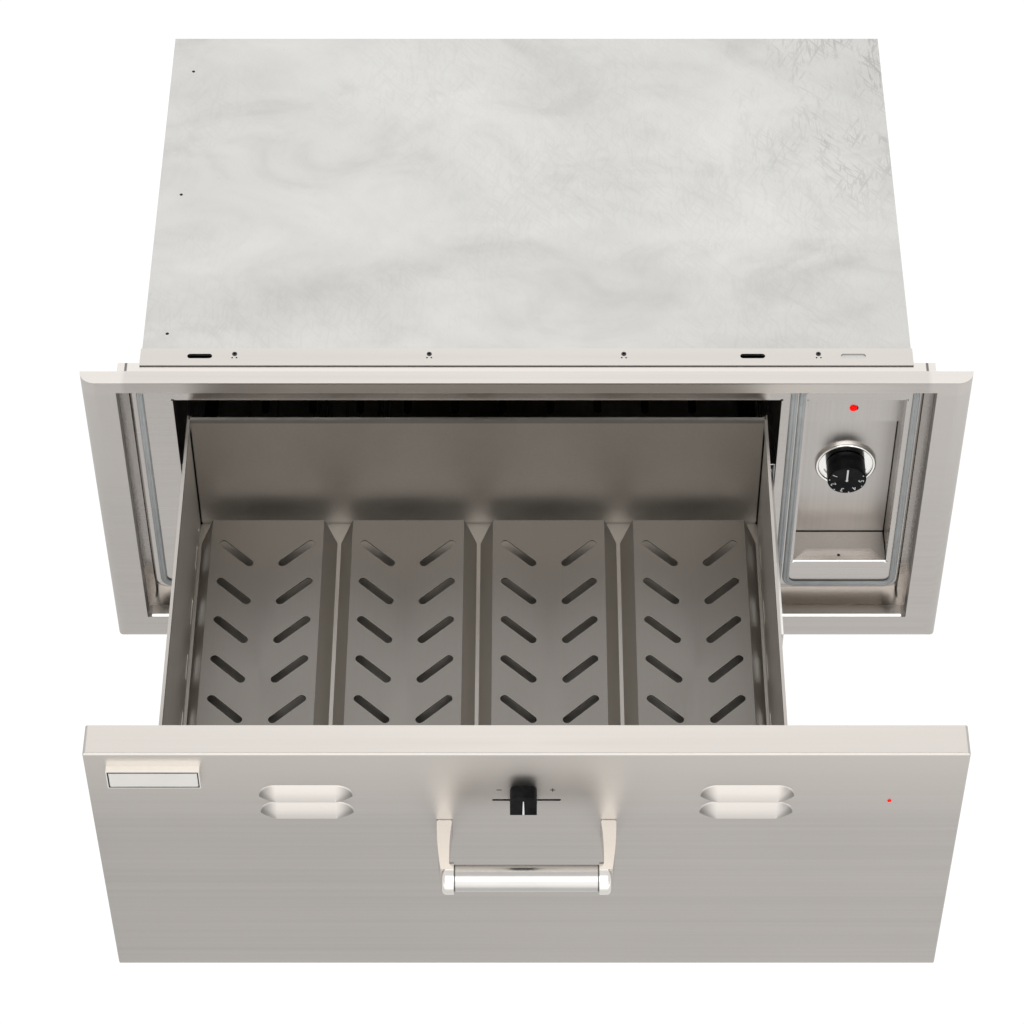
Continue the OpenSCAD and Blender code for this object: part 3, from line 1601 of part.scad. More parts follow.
trim_frame();
recess_tub();
mounting_collar();
drawer_gasket();
control_gasket();
outer_wrap();
base_pan();
rear_cover();
oven_liner();
insulation_top();
insulation_left();
insulation_right();
insulation_bottom();
insulation_rear();
control_pocket();
lamp_lens();
lamp_body();
knob_bezel();
thermostat();
sensor_bulb();
heating_element();
element_supports();
heat_shield();
terminal_block();
power_inlet();
wire_harness();
slide_rails();
collar_rivets();
cover_screws();
slide_middle_left();
slide_middle_right();
slide_balls_left();
slide_balls_right();
front_skin();
front_liner();
front_insulation();
drawer_box();
drawer_back();
rack_1();
rack_2();
rack_3();
rack_4();
slide_inners();
handle_tube();
handle_post_left();
handle_post_right();
handle_screws();
badge_plate();
front_window();
shutter_guides();
box_rivets();
moisture_knob();
moisture_shutter();
thermostat_knob();
thermostat_shaft();
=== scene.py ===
import math

import bmesh
import bpy
from mathutils import Matrix, Vector, noise


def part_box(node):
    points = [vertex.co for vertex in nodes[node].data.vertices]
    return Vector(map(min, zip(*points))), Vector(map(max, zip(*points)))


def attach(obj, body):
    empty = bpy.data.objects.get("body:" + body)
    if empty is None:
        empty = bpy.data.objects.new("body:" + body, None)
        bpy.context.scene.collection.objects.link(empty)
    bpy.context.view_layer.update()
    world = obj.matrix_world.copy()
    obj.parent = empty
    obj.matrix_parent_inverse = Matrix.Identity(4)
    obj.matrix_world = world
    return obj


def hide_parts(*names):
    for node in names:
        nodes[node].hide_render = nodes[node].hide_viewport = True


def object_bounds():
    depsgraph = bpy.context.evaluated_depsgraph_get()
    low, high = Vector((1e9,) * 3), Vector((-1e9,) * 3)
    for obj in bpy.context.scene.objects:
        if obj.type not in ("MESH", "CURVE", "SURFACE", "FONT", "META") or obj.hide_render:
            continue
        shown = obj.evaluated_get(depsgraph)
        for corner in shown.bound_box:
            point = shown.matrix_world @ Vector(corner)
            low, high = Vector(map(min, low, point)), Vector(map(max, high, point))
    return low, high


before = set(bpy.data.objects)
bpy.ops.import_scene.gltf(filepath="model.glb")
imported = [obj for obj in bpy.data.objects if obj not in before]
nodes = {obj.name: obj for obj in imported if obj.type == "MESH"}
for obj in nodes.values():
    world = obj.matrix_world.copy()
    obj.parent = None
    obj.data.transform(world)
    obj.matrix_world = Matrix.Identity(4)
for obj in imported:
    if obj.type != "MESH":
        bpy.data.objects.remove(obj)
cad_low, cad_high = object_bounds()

# A built-in warming drawer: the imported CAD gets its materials, and its gaskets, blankets and
# printed marks are made here.

scene = bpy.context.scene
scene.view_settings.view_transform = "Standard"


# ---------- camera ----------

CAMERA_PLACE = (0, -1.8939, 2.3537)
CAMERA_PITCH = 49.5  # degrees below the horizon

camera_data = bpy.data.cameras.new("photo_camera")
camera_data.sensor_width = 36
camera_data.lens = 112.5
camera_data.shift_x = -0.0142
camera_data.clip_end = 50
camera = bpy.data.objects.new("photo_camera", camera_data)
camera.location = CAMERA_PLACE
camera.rotation_euler = (math.radians(90 - CAMERA_PITCH), 0, 0)
scene.collection.objects.link(camera)
scene.camera = camera


# ---------- node graphs ----------

class Graph:
    """Short calls for the nodes of one node tree."""

    def __init__(self, tree):
        self.tree = tree

    def add(self, kind, **settings):
        node = self.tree.nodes.new(kind)
        for key, value in settings.items():
            setattr(node, key, value)
        return node

    def link(self, a, b):
        self.tree.links.new(a, b)

    def put(self, value, socket):
        """Links another node's output to a socket, or sets the socket to a plain value."""
        if isinstance(value, bpy.types.NodeSocket):
            self.link(value, socket)
        else:
            socket.default_value = value

    def split(self, vector):
        """A vector's X, Y and Z."""
        node = self.add("ShaderNodeSeparateXYZ")
        self.link(vector, node.inputs[0])
        return tuple(node.outputs)

    def math(self, operation, a, b=0.0, clamp=False):
        node = self.add("ShaderNodeMath", operation=operation, use_clamp=clamp)
        self.put(a, node.inputs[0])
        self.put(b, node.inputs[1])
        return node.outputs[0]

    def chain(self, operation, values):
        """One operation over several values, from left to right."""
        result = values[0]
        for value in values[1:]:
            result = self.math(operation, result, value)
        return result

    def times(self, *values):
        return self.chain("MULTIPLY", values)

    def plus(self, *values):
        return self.chain("ADD", values)

    def minus(self, a, b):
        return self.math("SUBTRACT", a, b)

    def largest(self, *values):
        return self.chain("MAXIMUM", values)

    def size(self, value):
        return self.math("ABSOLUTE", value)

    def off(self, value, middle):
        """How far a value is from a middle one, either way."""
        return self.size(self.minus(value, middle))

    def fit(self, value, low, high, a, b, smooth=False):
        """A value between low and high, carried over to between a and b and held at the ends."""
        node = self.add("ShaderNodeMapRange")
        if smooth:
            node.interpolation_type = "SMOOTHSTEP"
        self.link(value, node.inputs["Value"])
        for name, limit in (("From Min", low), ("From Max", high), ("To Min", a), ("To Max", b)):
            node.inputs[name].default_value = limit
        return node.outputs["Result"]

    def above(self, value, low, high):
        """A mask that rises from 0 at low to 1 at high."""
        return self.fit(value, low, high, 0, 1)

    def below(self, value, low, high):
        """A mask that falls from 1 at low to 0 at high."""
        return self.fit(value, low, high, 1, 0)

    def band(self, value, low, high, soft):
        """A mask that is 1 from low to high, apart from a soft edge inside each end."""
        return self.times(self.above(value, low, low + soft), self.below(value, high - soft, high))

    def mix(self, factor, a, b, kind="RGBA", blend="MIX"):
        """a where the factor is 0, b where it is 1."""
        node = self.add("ShaderNodeMix", data_type=kind, blend_type=blend)
        self.put(factor, node.inputs["Factor"])
        ends = [i for i in node.inputs if i.enabled and i.name in ("A", "B")]
        for value, end in zip((a, b), ends):
            if kind == "RGBA" and isinstance(value, tuple):
                value = (*value, 1)
            self.put(value, end)
        return next(o for o in node.outputs if o.enabled)


class Surface(Graph):
    """One material's graph, round its Principled shader."""

    def __init__(self, name, colour, metallic, roughness):
        self.material = bpy.data.materials.new(name)
        self.material.use_nodes = True
        self.material.diffuse_color = (*colour, 1)
        super().__init__(self.material.node_tree)
        self.shader = self.tree.nodes["Principled BSDF"]
        self.set("Base Color", (*colour, 1))
        self.set("Metallic", metallic)
        self.set("Roughness", roughness)
        self.place = self.add("ShaderNodeTexCoord").outputs
        self.normal = None

    def set(self, name, value):
        """Feeds or sets one of the shader's sockets."""
        self.put(value, self.shader.inputs[name])

    def source(self, name):
        """What one of the shader's sockets is fed from."""
        return self.shader.inputs[name].links[0].from_socket

    def coords(self, scale, turn=0.0, shift=(0, 0, 0)):
        """Object coordinates, turned about Z where a turn is given, then scaled and shifted."""
        vector = self.place["Object"]
        if turn:
            turned = self.add("ShaderNodeMapping")
            self.link(vector, turned.inputs["Vector"])
            turned.inputs["Rotation"].default_value = (0, 0, turn)
            vector = turned.outputs["Vector"]
        node = self.add("ShaderNodeMapping")
        self.link(vector, node.inputs["Vector"])
        node.inputs["Scale"].default_value = scale
        node.inputs["Location"].default_value = shift
        return node.outputs["Vector"]

    def noise(self, scale, detail=2.0, rough=0.5, distortion=0.0, turn=0.0, shift=(0, 0, 0)):
        """Noise with its own scale along each axis."""
        node = self.add("ShaderNodeTexNoise")
        self.link(self.coords(scale, turn, shift), node.inputs["Vector"])
        node.inputs["Scale"].default_value = 1.0
        node.inputs["Detail"].default_value = detail
        node.inputs["Roughness"].default_value = rough
        node.inputs["Distortion"].default_value = distortion
        return node.outputs["Fac"]

    def bump(self, height, distance, strength=1.0):
        """Adds bump on top of what the surface has."""
        node = self.add("ShaderNodeBump")
        self.link(height, node.inputs["Height"])
        node.inputs["Distance"].default_value = distance
        node.inputs["Strength"].default_value = strength
        if self.normal is not None:
            self.link(self.normal, node.inputs["Normal"])
        self.normal = node.outputs["Normal"]
        self.set("Normal", self.normal)

    def darken(self, mask, factor):
        """Multiplies the colour by a factor where a mask is 1."""
        colour = self.source("Base Color")
        self.set("Base Color", self.mix(mask, colour, (factor,) * 3, blend="MULTIPLY"))

    def lighten(self, mask, colour, rough):
        """Moves towards another colour and roughness where a mask is 1."""
        self.set("Base Color", self.mix(mask, self.source("Base Color"), colour))
        self.set("Roughness", self.mix(mask, self.source("Roughness"), rough, kind="FLOAT"))

    def roll(self, mask, normal):
        """Shades a narrow edge as if it were rounded over, with a given normal."""
        self.set("Normal", self.mix(mask, self.source("Normal"), normal, kind="VECTOR"))


def shade(colour, factor):
    return tuple(min(1.0, c * factor) for c in colour)


# ---------- materials ----------

STEEL = (0.47, 0.443, 0.418)
# the painted highlight on narrow rolled edges: its colour, its roughness, and the normal that
# shades them as if rounded
LIP_HIGHLIGHT_COLOUR = (0.62, 0.60, 0.57)
LIP_ROUGH = 0.2
LIP_NORMAL = (0, -0.64, 0.77)  # up and to the front


def brush_scale(axis, along, across):
    """Noise scales that draw streaks along one axis."""
    return tuple(along if axis == letter else across for letter in "xyz")


def brushed(name, colour, rough, axis, tone=0.06, grain=0.00002, anisotropic=0.5):
    """Metal sheet with fine brushing along one axis and slow changes of tone."""
    g = Surface(name, colour, 1.0, rough)
    lines = g.noise(brush_scale(axis, 1.2, 330), detail=3, rough=0.6)
    wide = g.noise(brush_scale(axis, 0.84, 52.8))
    slow = g.noise((5, 5, 5), detail=3)
    streak = g.plus(g.times(lines, 0.65), g.times(wide, 0.35))
    tinted = g.mix(g.above(streak, 0.32, 0.68), shade(colour, 1 - tone), shade(colour, 1 + tone))
    cloud = g.mix(g.above(slow, 0.35, 0.65), (0.96, 0.96, 0.96), (1, 1, 1))
    g.set("Base Color", g.mix(1, tinted, cloud, blend="MULTIPLY"))
    g.set("Roughness", g.plus(g.fit(streak, 0.3, 0.7, -0.05, 0.05),
                              g.fit(slow, 0.3, 0.7, rough - 0.03, rough + 0.03)))
    g.bump(streak, grain)
    if anisotropic:
        g.set("Anisotropic", anisotropic)
    return g


def polished(name, colour, rough):
    """Polished metal, a little smeared, with hair lines."""
    g = Surface(name, colour, 1.0, rough)
    smear = g.noise((30, 60, 60), detail=4, rough=0.6)
    hair = g.noise((6, 500, 500))
    g.set("Base Color", g.mix(g.above(smear, 0.35, 0.65), shade(colour, 0.96), colour))
    g.set("Roughness", g.plus(g.fit(smear, 0.3, 0.7, rough - 0.03, rough + 0.04),
                              g.fit(hair, 0.3, 0.7, 0, 0.03)))
    g.bump(hair, 0.000004)
    return g


def drawer_sheet():
    """The drawer's sheet: a hem, dark seams in the rear corners, and painted shade on the floor
    that is darkest beneath the racks.
    """
    g = brushed("box_sheet", (0.66, 0.625, 0.58), 0.52, "y", tone=0.05)
    x, y, z = g.split(g.place["Object"])
    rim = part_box("drawer_box")[1].z
    hem = 0.006
    g.darken(g.above(z, rim - hem, rim - hem + 0.001), 0.66)

    rack_low, rack_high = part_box("rack_1")
    # painted shade on the drawer's floor beneath the racks
    floor = g.below(z, rack_low.z + 0.0005, rack_low.z + 0.003)
    g.darken(floor, 0.62)

    panel_low, panel_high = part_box("drawer_back")
    middle, half = (panel_low.x + panel_high.x) / 2, (panel_high.x - panel_low.x) / 2
    seam = g.times(g.above(g.off(x, middle), half - 0.0019, half - 0.0013),
                   g.above(y, panel_low.y - 0.0013, panel_low.y - 0.0008),
                   g.below(z, rim - hem, rim - hem + 0.001))
    g.darken(seam, 0.06)

    margin = 0.006  # from a rack's edge to the painted shade, and the shade's soft edge
    boxes = [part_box(name) for name in ("rack_1", "rack_2", "rack_3", "rack_4")]
    shade_under_racks = g.largest(*[g.band(x, left.x + margin, right.x - margin, margin)
                        for left, right in boxes])
    # more painted shade right beneath each rack
    g.darken(g.times(floor, shade_under_racks, g.band(y, rack_low.y, rack_high.y, 0.010)), 0.85)
    return g


def rack_sheet():
    """The racks' sheet, with painted light on the folded sides."""
    g = brushed("rack_sheet", (0.225, 0.21, 0.193), 0.5, "y", tone=0.05)
    # painted light: faces that look sideways are paler
    sideways = g.size(g.split(g.place["Normal"])[0])
    g.lighten(g.above(sideways, 0.35, 0.5), (0.45, 0.425, 0.39), 0.6)
    return g


def pocket_sheet():
    """The control pocket's sheet: dark seams, and painted shade on the floor behind its front
    flap.
    """
    g = brushed("pocket_sheet", (0.52, 0.492, 0.466), 0.34, "z", tone=0.06)
    x, y, z = g.split(g.place["Object"])
    low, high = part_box("control_pocket")
    wall = 0.0008
    # a seam lies where two of the back, the floor and the right wall are near
    gaps = (g.minus(high.y - wall, y), g.minus(z, low.z + wall), g.minus(high.x - wall, x))
    near = g.plus(*[g.below(gap, 0.0008, 0.0013) for gap in gaps])
    g.darken(g.above(near, 1.3, 1.8), 0.08)

    # the flap narrows towards its rear
    flap_deep, soft, slope = 0.0158, 0.0008, 0.85
    ahead = g.minus(y, low.y)
    half = g.minus((high.x - low.x) / 2 - 0.001, g.times(ahead, slope))
    across = g.off(x, (low.x + high.x) / 2)
    flap = g.times(g.above(g.minus(half, across), 0, soft),
                   g.below(ahead, flap_deep - soft, flap_deep))
    floor = g.below(z, low.z + 0.0010, low.z + 0.0016)
    # painted shade on the floor behind the flap
    g.darken(g.times(floor, g.minus(1, flap)), 0.80)
    return g


def tub_sheet():
    """The recess's sheet: painted shade in the gaps beside the platform, and painted highlights on
    the fold below the gasket and on the lip at the pocket's foot.
    """
    g = brushed("tub_sheet", (0.50, 0.472, 0.445), 0.24, "x", tone=0.04, grain=0.000005)
    x, y, z = g.split(g.place["Object"])
    low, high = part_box("recess_tub")
    gasket_low, gasket_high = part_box("drawer_gasket")
    # a faint painted highlight on the fold beneath the drawer gasket
    g.lighten(g.below(z, gasket_low.z - 0.006, gasket_low.z), (0.52, 0.49, 0.46), 0.24)

    # painted shade in the narrow gaps beside the platform
    gap, width, soft = 0.0082, 0.0022, 0.0006
    edge = high.x - gap
    line = g.band(g.size(x), edge - soft, edge + width, soft)
    g.darken(g.times(line, g.above(y, low.y + 0.008, low.y + 0.012)), 0.25)

    pocket_low, pocket_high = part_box("control_pocket")
    middle, half = (pocket_low.x + pocket_high.x) / 2, (pocket_high.x - pocket_low.x) / 2
    lip = g.times(g.below(y, gasket_high.y + 0.0018, gasket_high.y + 0.0022),
                  g.below(g.off(z, pocket_low.z + 0.0015), 0.002, 0.0024),
                  g.below(g.off(x, middle), half - 0.001, half),
                  g.above(g.minus(y, gasket_high.y), 0.0001, 0.0003))
    # painted highlight on the lip at the pocket's foot, also shaded as if rounded over
    g.lighten(lip, LIP_HIGHLIGHT_COLOUR, LIP_ROUGH)
    g.roll(lip, LIP_NORMAL)
    return g


def tube_metal():
    """The handle's tube, with a painted shadow at the joint where it enters each post."""
    g = polished("tube_steel", (0.50, 0.485, 0.465), 0.20)
    x = g.split(g.place["Object"])[0]
    left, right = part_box("handle_post_left")[1].x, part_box("handle_post_right")[0].x
    near, far = 0.0010, 0.0014  # how far the joint's shadow reaches past a post
    g.darken(g.largest(g.below(x, left + near, left + far),
                       g.above(x, right - far, right - near)), 0.25)
    return g


def frame_sheet():
    """The trim frame: painted light on the rail and stiles, and a painted highlight on the rolled
    edge along the opening's foot.
    """
    g = brushed("brushed_frame", shade(STEEL, 1.05), 0.40, "x")
    x, y, z = g.split(g.place["Object"])
    side = g.size(x)
    low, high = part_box("trim_frame")
    tub_low, tub_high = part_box("recess_tub")
    # painted light on the rolled stiles, from partway up
    stile = g.times(g.above(side, high.x - 0.040, high.x - 0.036), g.above(z, 0.10, 0.30))
    g.lighten(stile, (0.56, 0.53, 0.50), 0.42)
    # painted light on the top rail, fading towards its ends
    rail = g.times(g.above(z, tub_high.z - 0.006, tub_high.z - 0.002),
                   g.below(z, high.z - 0.0016, high.z - 0.0010),
                   g.fit(side, 0.20, 0.34, 1, 0.1))
    g.lighten(rail, (0.82, 0.775, 0.72), 0.52)

    # painted light on the inner strip of the bottom rail, and a painted highlight on its front
    # edge
    ahead = g.minus(y, low.y)
    strip = g.times(g.above(ahead, 0.0002, 0.0006),
                    g.below(side, high.x - 0.036, high.x - 0.034),
                    g.band(z, low.z + 0.02, tub_low.z + 0.012, 0.002))
    g.lighten(strip, (0.68, 0.65, 0.61), 0.34)
    edge = g.times(strip, g.below(ahead, 0.0034, 0.0040))
    g.lighten(edge, LIP_HIGHLIGHT_COLOUR, LIP_ROUGH)
    g.roll(edge, LIP_NORMAL)
    return g


def front_sheet():
    """The front's sheet, with painted light towards its top and painted shade towards the ends of
    the pressed louvres.
    """
    g = brushed("brushed_face", STEEL, 0.38, "x")
    x, y, z = g.split(g.place["Object"])
    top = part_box("front_skin")[1].z
    # painted light towards the top of the face
    painted_top_light = g.times(g.above(z, top - 0.10, top - 0.01),
                    g.fit(z, top - 0.0022, top - 0.0012, 1, 0.45))
    g.lighten(painted_top_light, (0.55, 0.517, 0.478), 0.38)

    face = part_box("badge_plate")[1].y
    louvre_middle = 0.1772
    # painted shade on the ends of the louvres, which stand proud of the face
    proud = g.below(y, face - 0.0009, face - 0.0004)
    ends = g.above(g.off(g.size(x), louvre_middle), 0.024, 0.038)
    g.darken(g.times(proud, ends), 0.42)
    return g


def scratches(g, turn, stretch, seed, least):
    """Thin straight marks in one direction, as a mask of where the noise passes a least value."""
    lines = g.noise((stretch, 420, 420), detail=1, rough=0.4, turn=turn,
                    shift=(seed, seed * 0.7, 0))
    return g.above(lines, least, least + 0.08)


# each set of scratches' turn, stretch, seed and least value
SCRATCHES = ((0.95, 30, 1.0, 0.60), (0.72, 44, 4.0, 0.61), (1.5, 40, 9.0, 0.61),
             (1.68, 60, 13.0, 0.61), (-1.1, 28, 17.0, 0.61))


def cabinet_sheet():
    """Mill-finish sheet, clouded and rubbed, with scratches that gather at the right rear."""
    colour = (0.465, 0.46, 0.445)
    g = Surface("mill_sheet", colour, 1.0, 0.5)
    cloud = g.noise((3.2, 4.5, 4), detail=5, rough=0.55, distortion=0.6)
    patch = g.noise((9, 12, 9), detail=6, rough=0.62, distortion=0.8, shift=(3, 1, 0))
    fleck = g.noise((140, 140, 140), detail=3, rough=0.7)
    base = g.mix(g.above(cloud, 0.36, 0.64), shade(colour, 0.94), shade(colour, 1.06))
    base = g.mix(g.fit(patch, 0.52, 0.72, 0, 0.45), base, shade(colour, 0.88))
    base = g.mix(g.fit(fleck, 0.62, 0.75, 0, 0.25), base, shade(colour, 0.8))

    x, y, _ = g.split(g.place["Object"])
    cluster = g.noise((16, 10, 10), detail=4, rough=0.65, shift=(2, 5, 0))
    corner = g.times(g.above(x, 0.17, 0.29), g.above(y, 0.18, 0.32),
                     g.fit(cluster, 0.47, 0.60, 0.05, 1))
    where = g.above(g.noise((6, 6, 6), detail=3, shift=(7, 2, 0)), 0.42, 0.6)
    marks = g.largest(*[scratches(g, *values) for values in SCRATCHES])
    spread = g.math("ADD", g.times(corner, 0.85), g.times(where, 0.16), clamp=True)
    amount = g.times(marks, spread)
    g.set("Base Color", g.mix(g.times(amount, 0.30), base, shade(colour, 0.62)))
    g.set("Roughness", g.plus(g.fit(patch, 0.3, 0.7, 0.40, 0.52), g.times(amount, 0.15)))
    g.bump(fleck, 0.00002)
    g.bump(marks, 0.00003)
    return g


def heated():
    """Sheet darkened by heat, straw to grey."""
    g = Surface("heated_steel", (0.16, 0.145, 0.13), 1.0, 0.5)
    cloud = g.noise((8, 8, 8), detail=5, rough=0.6, distortion=0.5)
    g.set("Base Color", g.mix(g.above(cloud, 0.35, 0.65), (0.13, 0.12, 0.115),
                              (0.20, 0.165, 0.12)))
    g.set("Roughness", g.fit(cloud, 0.3, 0.7, 0.42, 0.6))
    g.bump(g.noise((90, 90, 90), detail=3), 0.00003)
    return g


def gasket_rubber():
    """The gaskets' silicone, dusty, with painted shade along the crease between its foot and the
    sheet.
    """
    colour = (0.41, 0.43, 0.43)
    g = Surface("gasket_silicone", colour, 0.0, 0.55)
    dust = g.noise((60, 60, 60), detail=5, rough=0.7)
    pore = g.noise((1400, 1400, 1400))
    g.set("Base Color", g.mix(g.above(dust, 0.4, 0.65), shade(colour, 0.93),
                              shade(colour, 1.06)))
    g.set("Roughness", g.fit(dust, 0.3, 0.7, 0.48, 0.62))
    g.bump(pore, 0.00003, 0.6)
    g.set("Sheen Weight", 0.15)
    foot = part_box("drawer_gasket")[1].y
    y = g.split(g.place["Object"])[1]
    # painted shade along the crease where the bead's foot meets the sheet
    g.darken(g.above(y, foot - 0.0010, foot - 0.0005), 0.30)
    return g


def plastic(name, colour, rough, grain=0.00001, specular=0.5):
    """Moulded plastic or ink, a little worn."""
    g = Surface(name, colour, 0.0, rough)
    g.set("Specular IOR Level", specular)
    wear = g.noise((45, 45, 45), detail=5, rough=0.65)
    fine = g.noise((2200, 2200, 2200), detail=1)
    g.set("Base Color", g.mix(g.above(wear, 0.45, 0.7), colour, tuple(c + 0.012 for c in colour)))
    g.set("Roughness", g.fit(wear, 0.3, 0.7, rough - 0.04, rough + 0.06))
    g.bump(fine, grain, 0.5)
    return g


def lens_red():
    """The pilot lamp's lens, lit."""
    g = Surface("lens_red", (0.85, 0.004, 0.002), 0.0, 0.12)
    swirl = g.noise((300, 300, 300))
    g.set("Base Color", g.mix(g.above(swirl, 0.3, 0.7), (0.78, 0.002, 0.001),
                              (0.92, 0.008, 0.003)))
    g.set("Roughness", g.fit(swirl, 0.3, 0.7, 0.06, 0.12))
    g.set("Specular IOR Level", 0.08)
    g.set("Emission Color", (1.0, 0.004, 0.002, 1))
    g.set("Emission Strength", 0.86)
    return g


def fibre():
    """Felted ceramic fibre."""
    colour = (0.86, 0.83, 0.74)
    g = Surface("ceramic_blanket", colour, 0.0, 0.95)
    mat = g.noise((70, 70, 160), detail=6, rough=0.7, distortion=1.2)
    hair = g.noise((900, 300, 900), detail=3, distortion=2)
    g.set("Base Color", g.mix(g.above(mat, 0.35, 0.65), shade(colour, 0.85), colour))
    g.bump(mat, 0.0012, 0.7)
    g.bump(hair, 0.0003, 0.6)
    g.set("Sheen Weight", 0.4)
    return g


def ceramic():
    """Glazed ceramic with dark specks."""
    colour = (0.80, 0.76, 0.68)
    g = Surface("glazed_ceramic", colour, 0.0, 0.3)
    speck = g.noise((500, 500, 500), detail=4, rough=0.7)
    g.set("Base Color", g.mix(g.fit(speck, 0.62, 0.72, 0, 0.5), colour, shade(colour, 0.6)))
    g.set("Roughness", g.fit(speck, 0.3, 0.7, 0.22, 0.4))
    g.bump(speck, 0.00004)
    g.set("Coat Weight", 0.3)
    return g


def braid():
    """Glass-braid sleeve of heat-proof wire: two sets of diagonal bands that cross."""
    colour = (0.55, 0.52, 0.45)
    g = Surface("wire_braid", colour, 0.0, 0.8)
    waves = []
    for lean in (1, -1):
        wave = g.add("ShaderNodeTexWave", wave_type="BANDS", bands_direction="DIAGONAL")
        g.link(g.coords((lean, 1, 1)), wave.inputs["Vector"])
        wave.inputs["Scale"].default_value = 900
        waves.append(wave.outputs["Fac"])
    weave = g.times(*waves)
    g.set("Base Color", g.mix(weave, shade(colour, 0.55), colour))
    g.set("Roughness", g.fit(weave, 0, 1, 0.85, 0.7))
    g.bump(weave, 0.0001)
    return g


surfaces = {
    "face": front_sheet(),
    "frame": frame_sheet(),
    "collar": brushed("collar_sheet", (0.46, 0.435, 0.41), 0.36, "x", tone=0.04),
    "box": drawer_sheet(),
    "rack": rack_sheet(),
    "pocket": pocket_sheet(),
    "tub": tub_sheet(),
    "bright": brushed("bright_plate", (0.66, 0.655, 0.64), 0.30, "y", tone=0.05),
    "cabinet": cabinet_sheet(),
    "chrome": polished("polished_steel", (0.71, 0.68, 0.64), 0.12),
    "tube": tube_metal(),
    "mirror": polished("bezel_chrome", (0.88, 0.865, 0.84), 0.08),
    "badge": polished("badge_metal", (0.84, 0.815, 0.775), 0.30),
    "heated": heated(),
    "rubber": gasket_rubber(),
    "black": plastic("black_plastic", (0.018, 0.018, 0.02), 0.5, grain=0.00002),
    "knob": plastic("black_knob", (0.003, 0.003, 0.004), 0.30, specular=0.07),
    "red": lens_red(),
    "fibre": fibre(),
    "ceramic": ceramic(),
    "brass": brushed("drawn_brass", (0.62, 0.44, 0.17), 0.3, "y", tone=0.08, anisotropic=0),
    "braid": braid(),
    "ink": plastic("white_ink", (0.82, 0.83, 0.84), 0.6),
    "dark_ink": plastic("dark_ink", (0.02, 0.02, 0.02), 0.6, specular=0.2),
}
materials = {look: surface.material for look, surface in surfaces.items()}

LOOKS = {
    "frame": ("trim_frame",),
    "tub": ("recess_tub",),
    "collar": ("mounting_collar",),
    "rubber": ("drawer_gasket", "control_gasket"),
    "cabinet": ("outer_wrap", "base_pan", "rear_cover"),
    "heated": ("oven_liner", "heating_element"),
    "pocket": ("control_pocket",),
    "red": ("lamp_lens", "front_window"),
    "black": ("lamp_body", "terminal_block", "power_inlet", "collar_rivets"),
    "mirror": ("knob_bezel", "slide_balls_left", "slide_balls_right"),
    "ceramic": ("thermostat",),
    "brass": ("sensor_bulb",),
    "braid": ("wire_harness",),
    "bright": ("element_supports", "heat_shield", "slide_rails", "cover_screws",
               "slide_middle_left", "slide_middle_right", "slide_inners", "handle_screws",
               "shutter_guides", "box_rivets", "moisture_shutter", "thermostat_shaft"),
    "face": ("front_skin", "front_liner"),
    "box": ("drawer_box", "drawer_back"),
    "rack": ("rack_1", "rack_2", "rack_3", "rack_4"),
    "tube": ("handle_tube",),
    "chrome": ("handle_post_left", "handle_post_right"),
    "badge": ("badge_plate",),
    "knob": ("moisture_knob", "thermostat_knob"),
    "fibre": ("insulation_top", "insulation_left", "insulation_right", "insulation_bottom",
              "insulation_rear", "front_insulation"),
}


def dress(obj, look):
    """Puts one material on every slot of an object."""
    slots = obj.data.materials
    if not slots:
        slots.append(materials[look])
    for i in range(len(slots)):
        slots[i] = materials[look]


for look, names in LOOKS.items():
    for name in names:
        dress(nodes[name], look)


# ---------- making pieces ----------

def piece(name, mesh, body, look, smooth=True):
    """A new object made from a bmesh, dressed and riding on a body."""
    data = bpy.data.meshes.new(name)
    mesh.to_mesh(data)
    mesh.free()
    obj = bpy.data.objects.new(name, data)
    scene.collection.objects.link(obj)
    if smooth:
        for polygon in data.polygons:
            polygon.use_smooth = True
    data.materials.append(materials[look])
    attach(obj, body)
    return obj


# ---------- gaskets ----------

GASKET_WIDTH = 0.006
GASKET_CORNER = 0.009
# how far each line of the bead lies outside the strip's middle, and its share of the height
GASKET_PROFILE = (
    (0.0030, 0.0), (0.00297, 0.35), (0.0027, 0.68), (0.0021, 0.92), (0.0013, 1.0),
    (0.0006, 0.95), (0.0002, 0.72), (-0.0002, 0.72), (-0.0006, 0.95), (-0.0013, 1.0),
    (-0.0021, 0.92), (-0.0027, 0.68), (-0.00297, 0.35), (-0.0030, 0.0))


def loop_points(x0, x1, z0, z1, radius, steps=10):
    """A rounded rectangle seen from the front: its points, each with its outward direction."""
    points = []
    corners = ((x1 - radius, z1 - radius, 0), (x0 + radius, z1 - radius, 90),
               (x0 + radius, z0 + radius, 180), (x1 - radius, z0 + radius, 270))
    for cx, cz, start in corners:
        for i in range(steps + 1):
            angle = math.radians(start + 90 * i / steps)
            out_x, out_z = math.cos(angle), math.sin(angle)
            points.append(((cx + radius * out_x, cz + radius * out_z), (out_x, out_z)))
    return points


def gasket(name, node):
    """A moulded silicone strip: a soft bead with a groove along its middle, on a flat foot."""
    low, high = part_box(node)
    deep = high.y - low.y
    half = GASKET_WIDTH / 2
    middle = loop_points(low.x + half, high.x - half, low.z + half, high.z - half, GASKET_CORNER)
    mesh = bmesh.new()
    rings = [[mesh.verts.new((x + nx * off, high.y - deep * up, z + nz * off))
              for off, up in GASKET_PROFILE] for (x, z), (nx, nz) in middle]
    count = len(GASKET_PROFILE)
    for a, b in zip(rings, rings[1:] + rings[:1]):
        for i in range(count):
            j = (i + 1) % count
            mesh.faces.new((a[i], b[i], b[j], a[j]))
    bmesh.ops.recalc_face_normals(mesh, faces=mesh.faces)
    obj = piece(name, mesh, "root", "rubber")
    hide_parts(node)


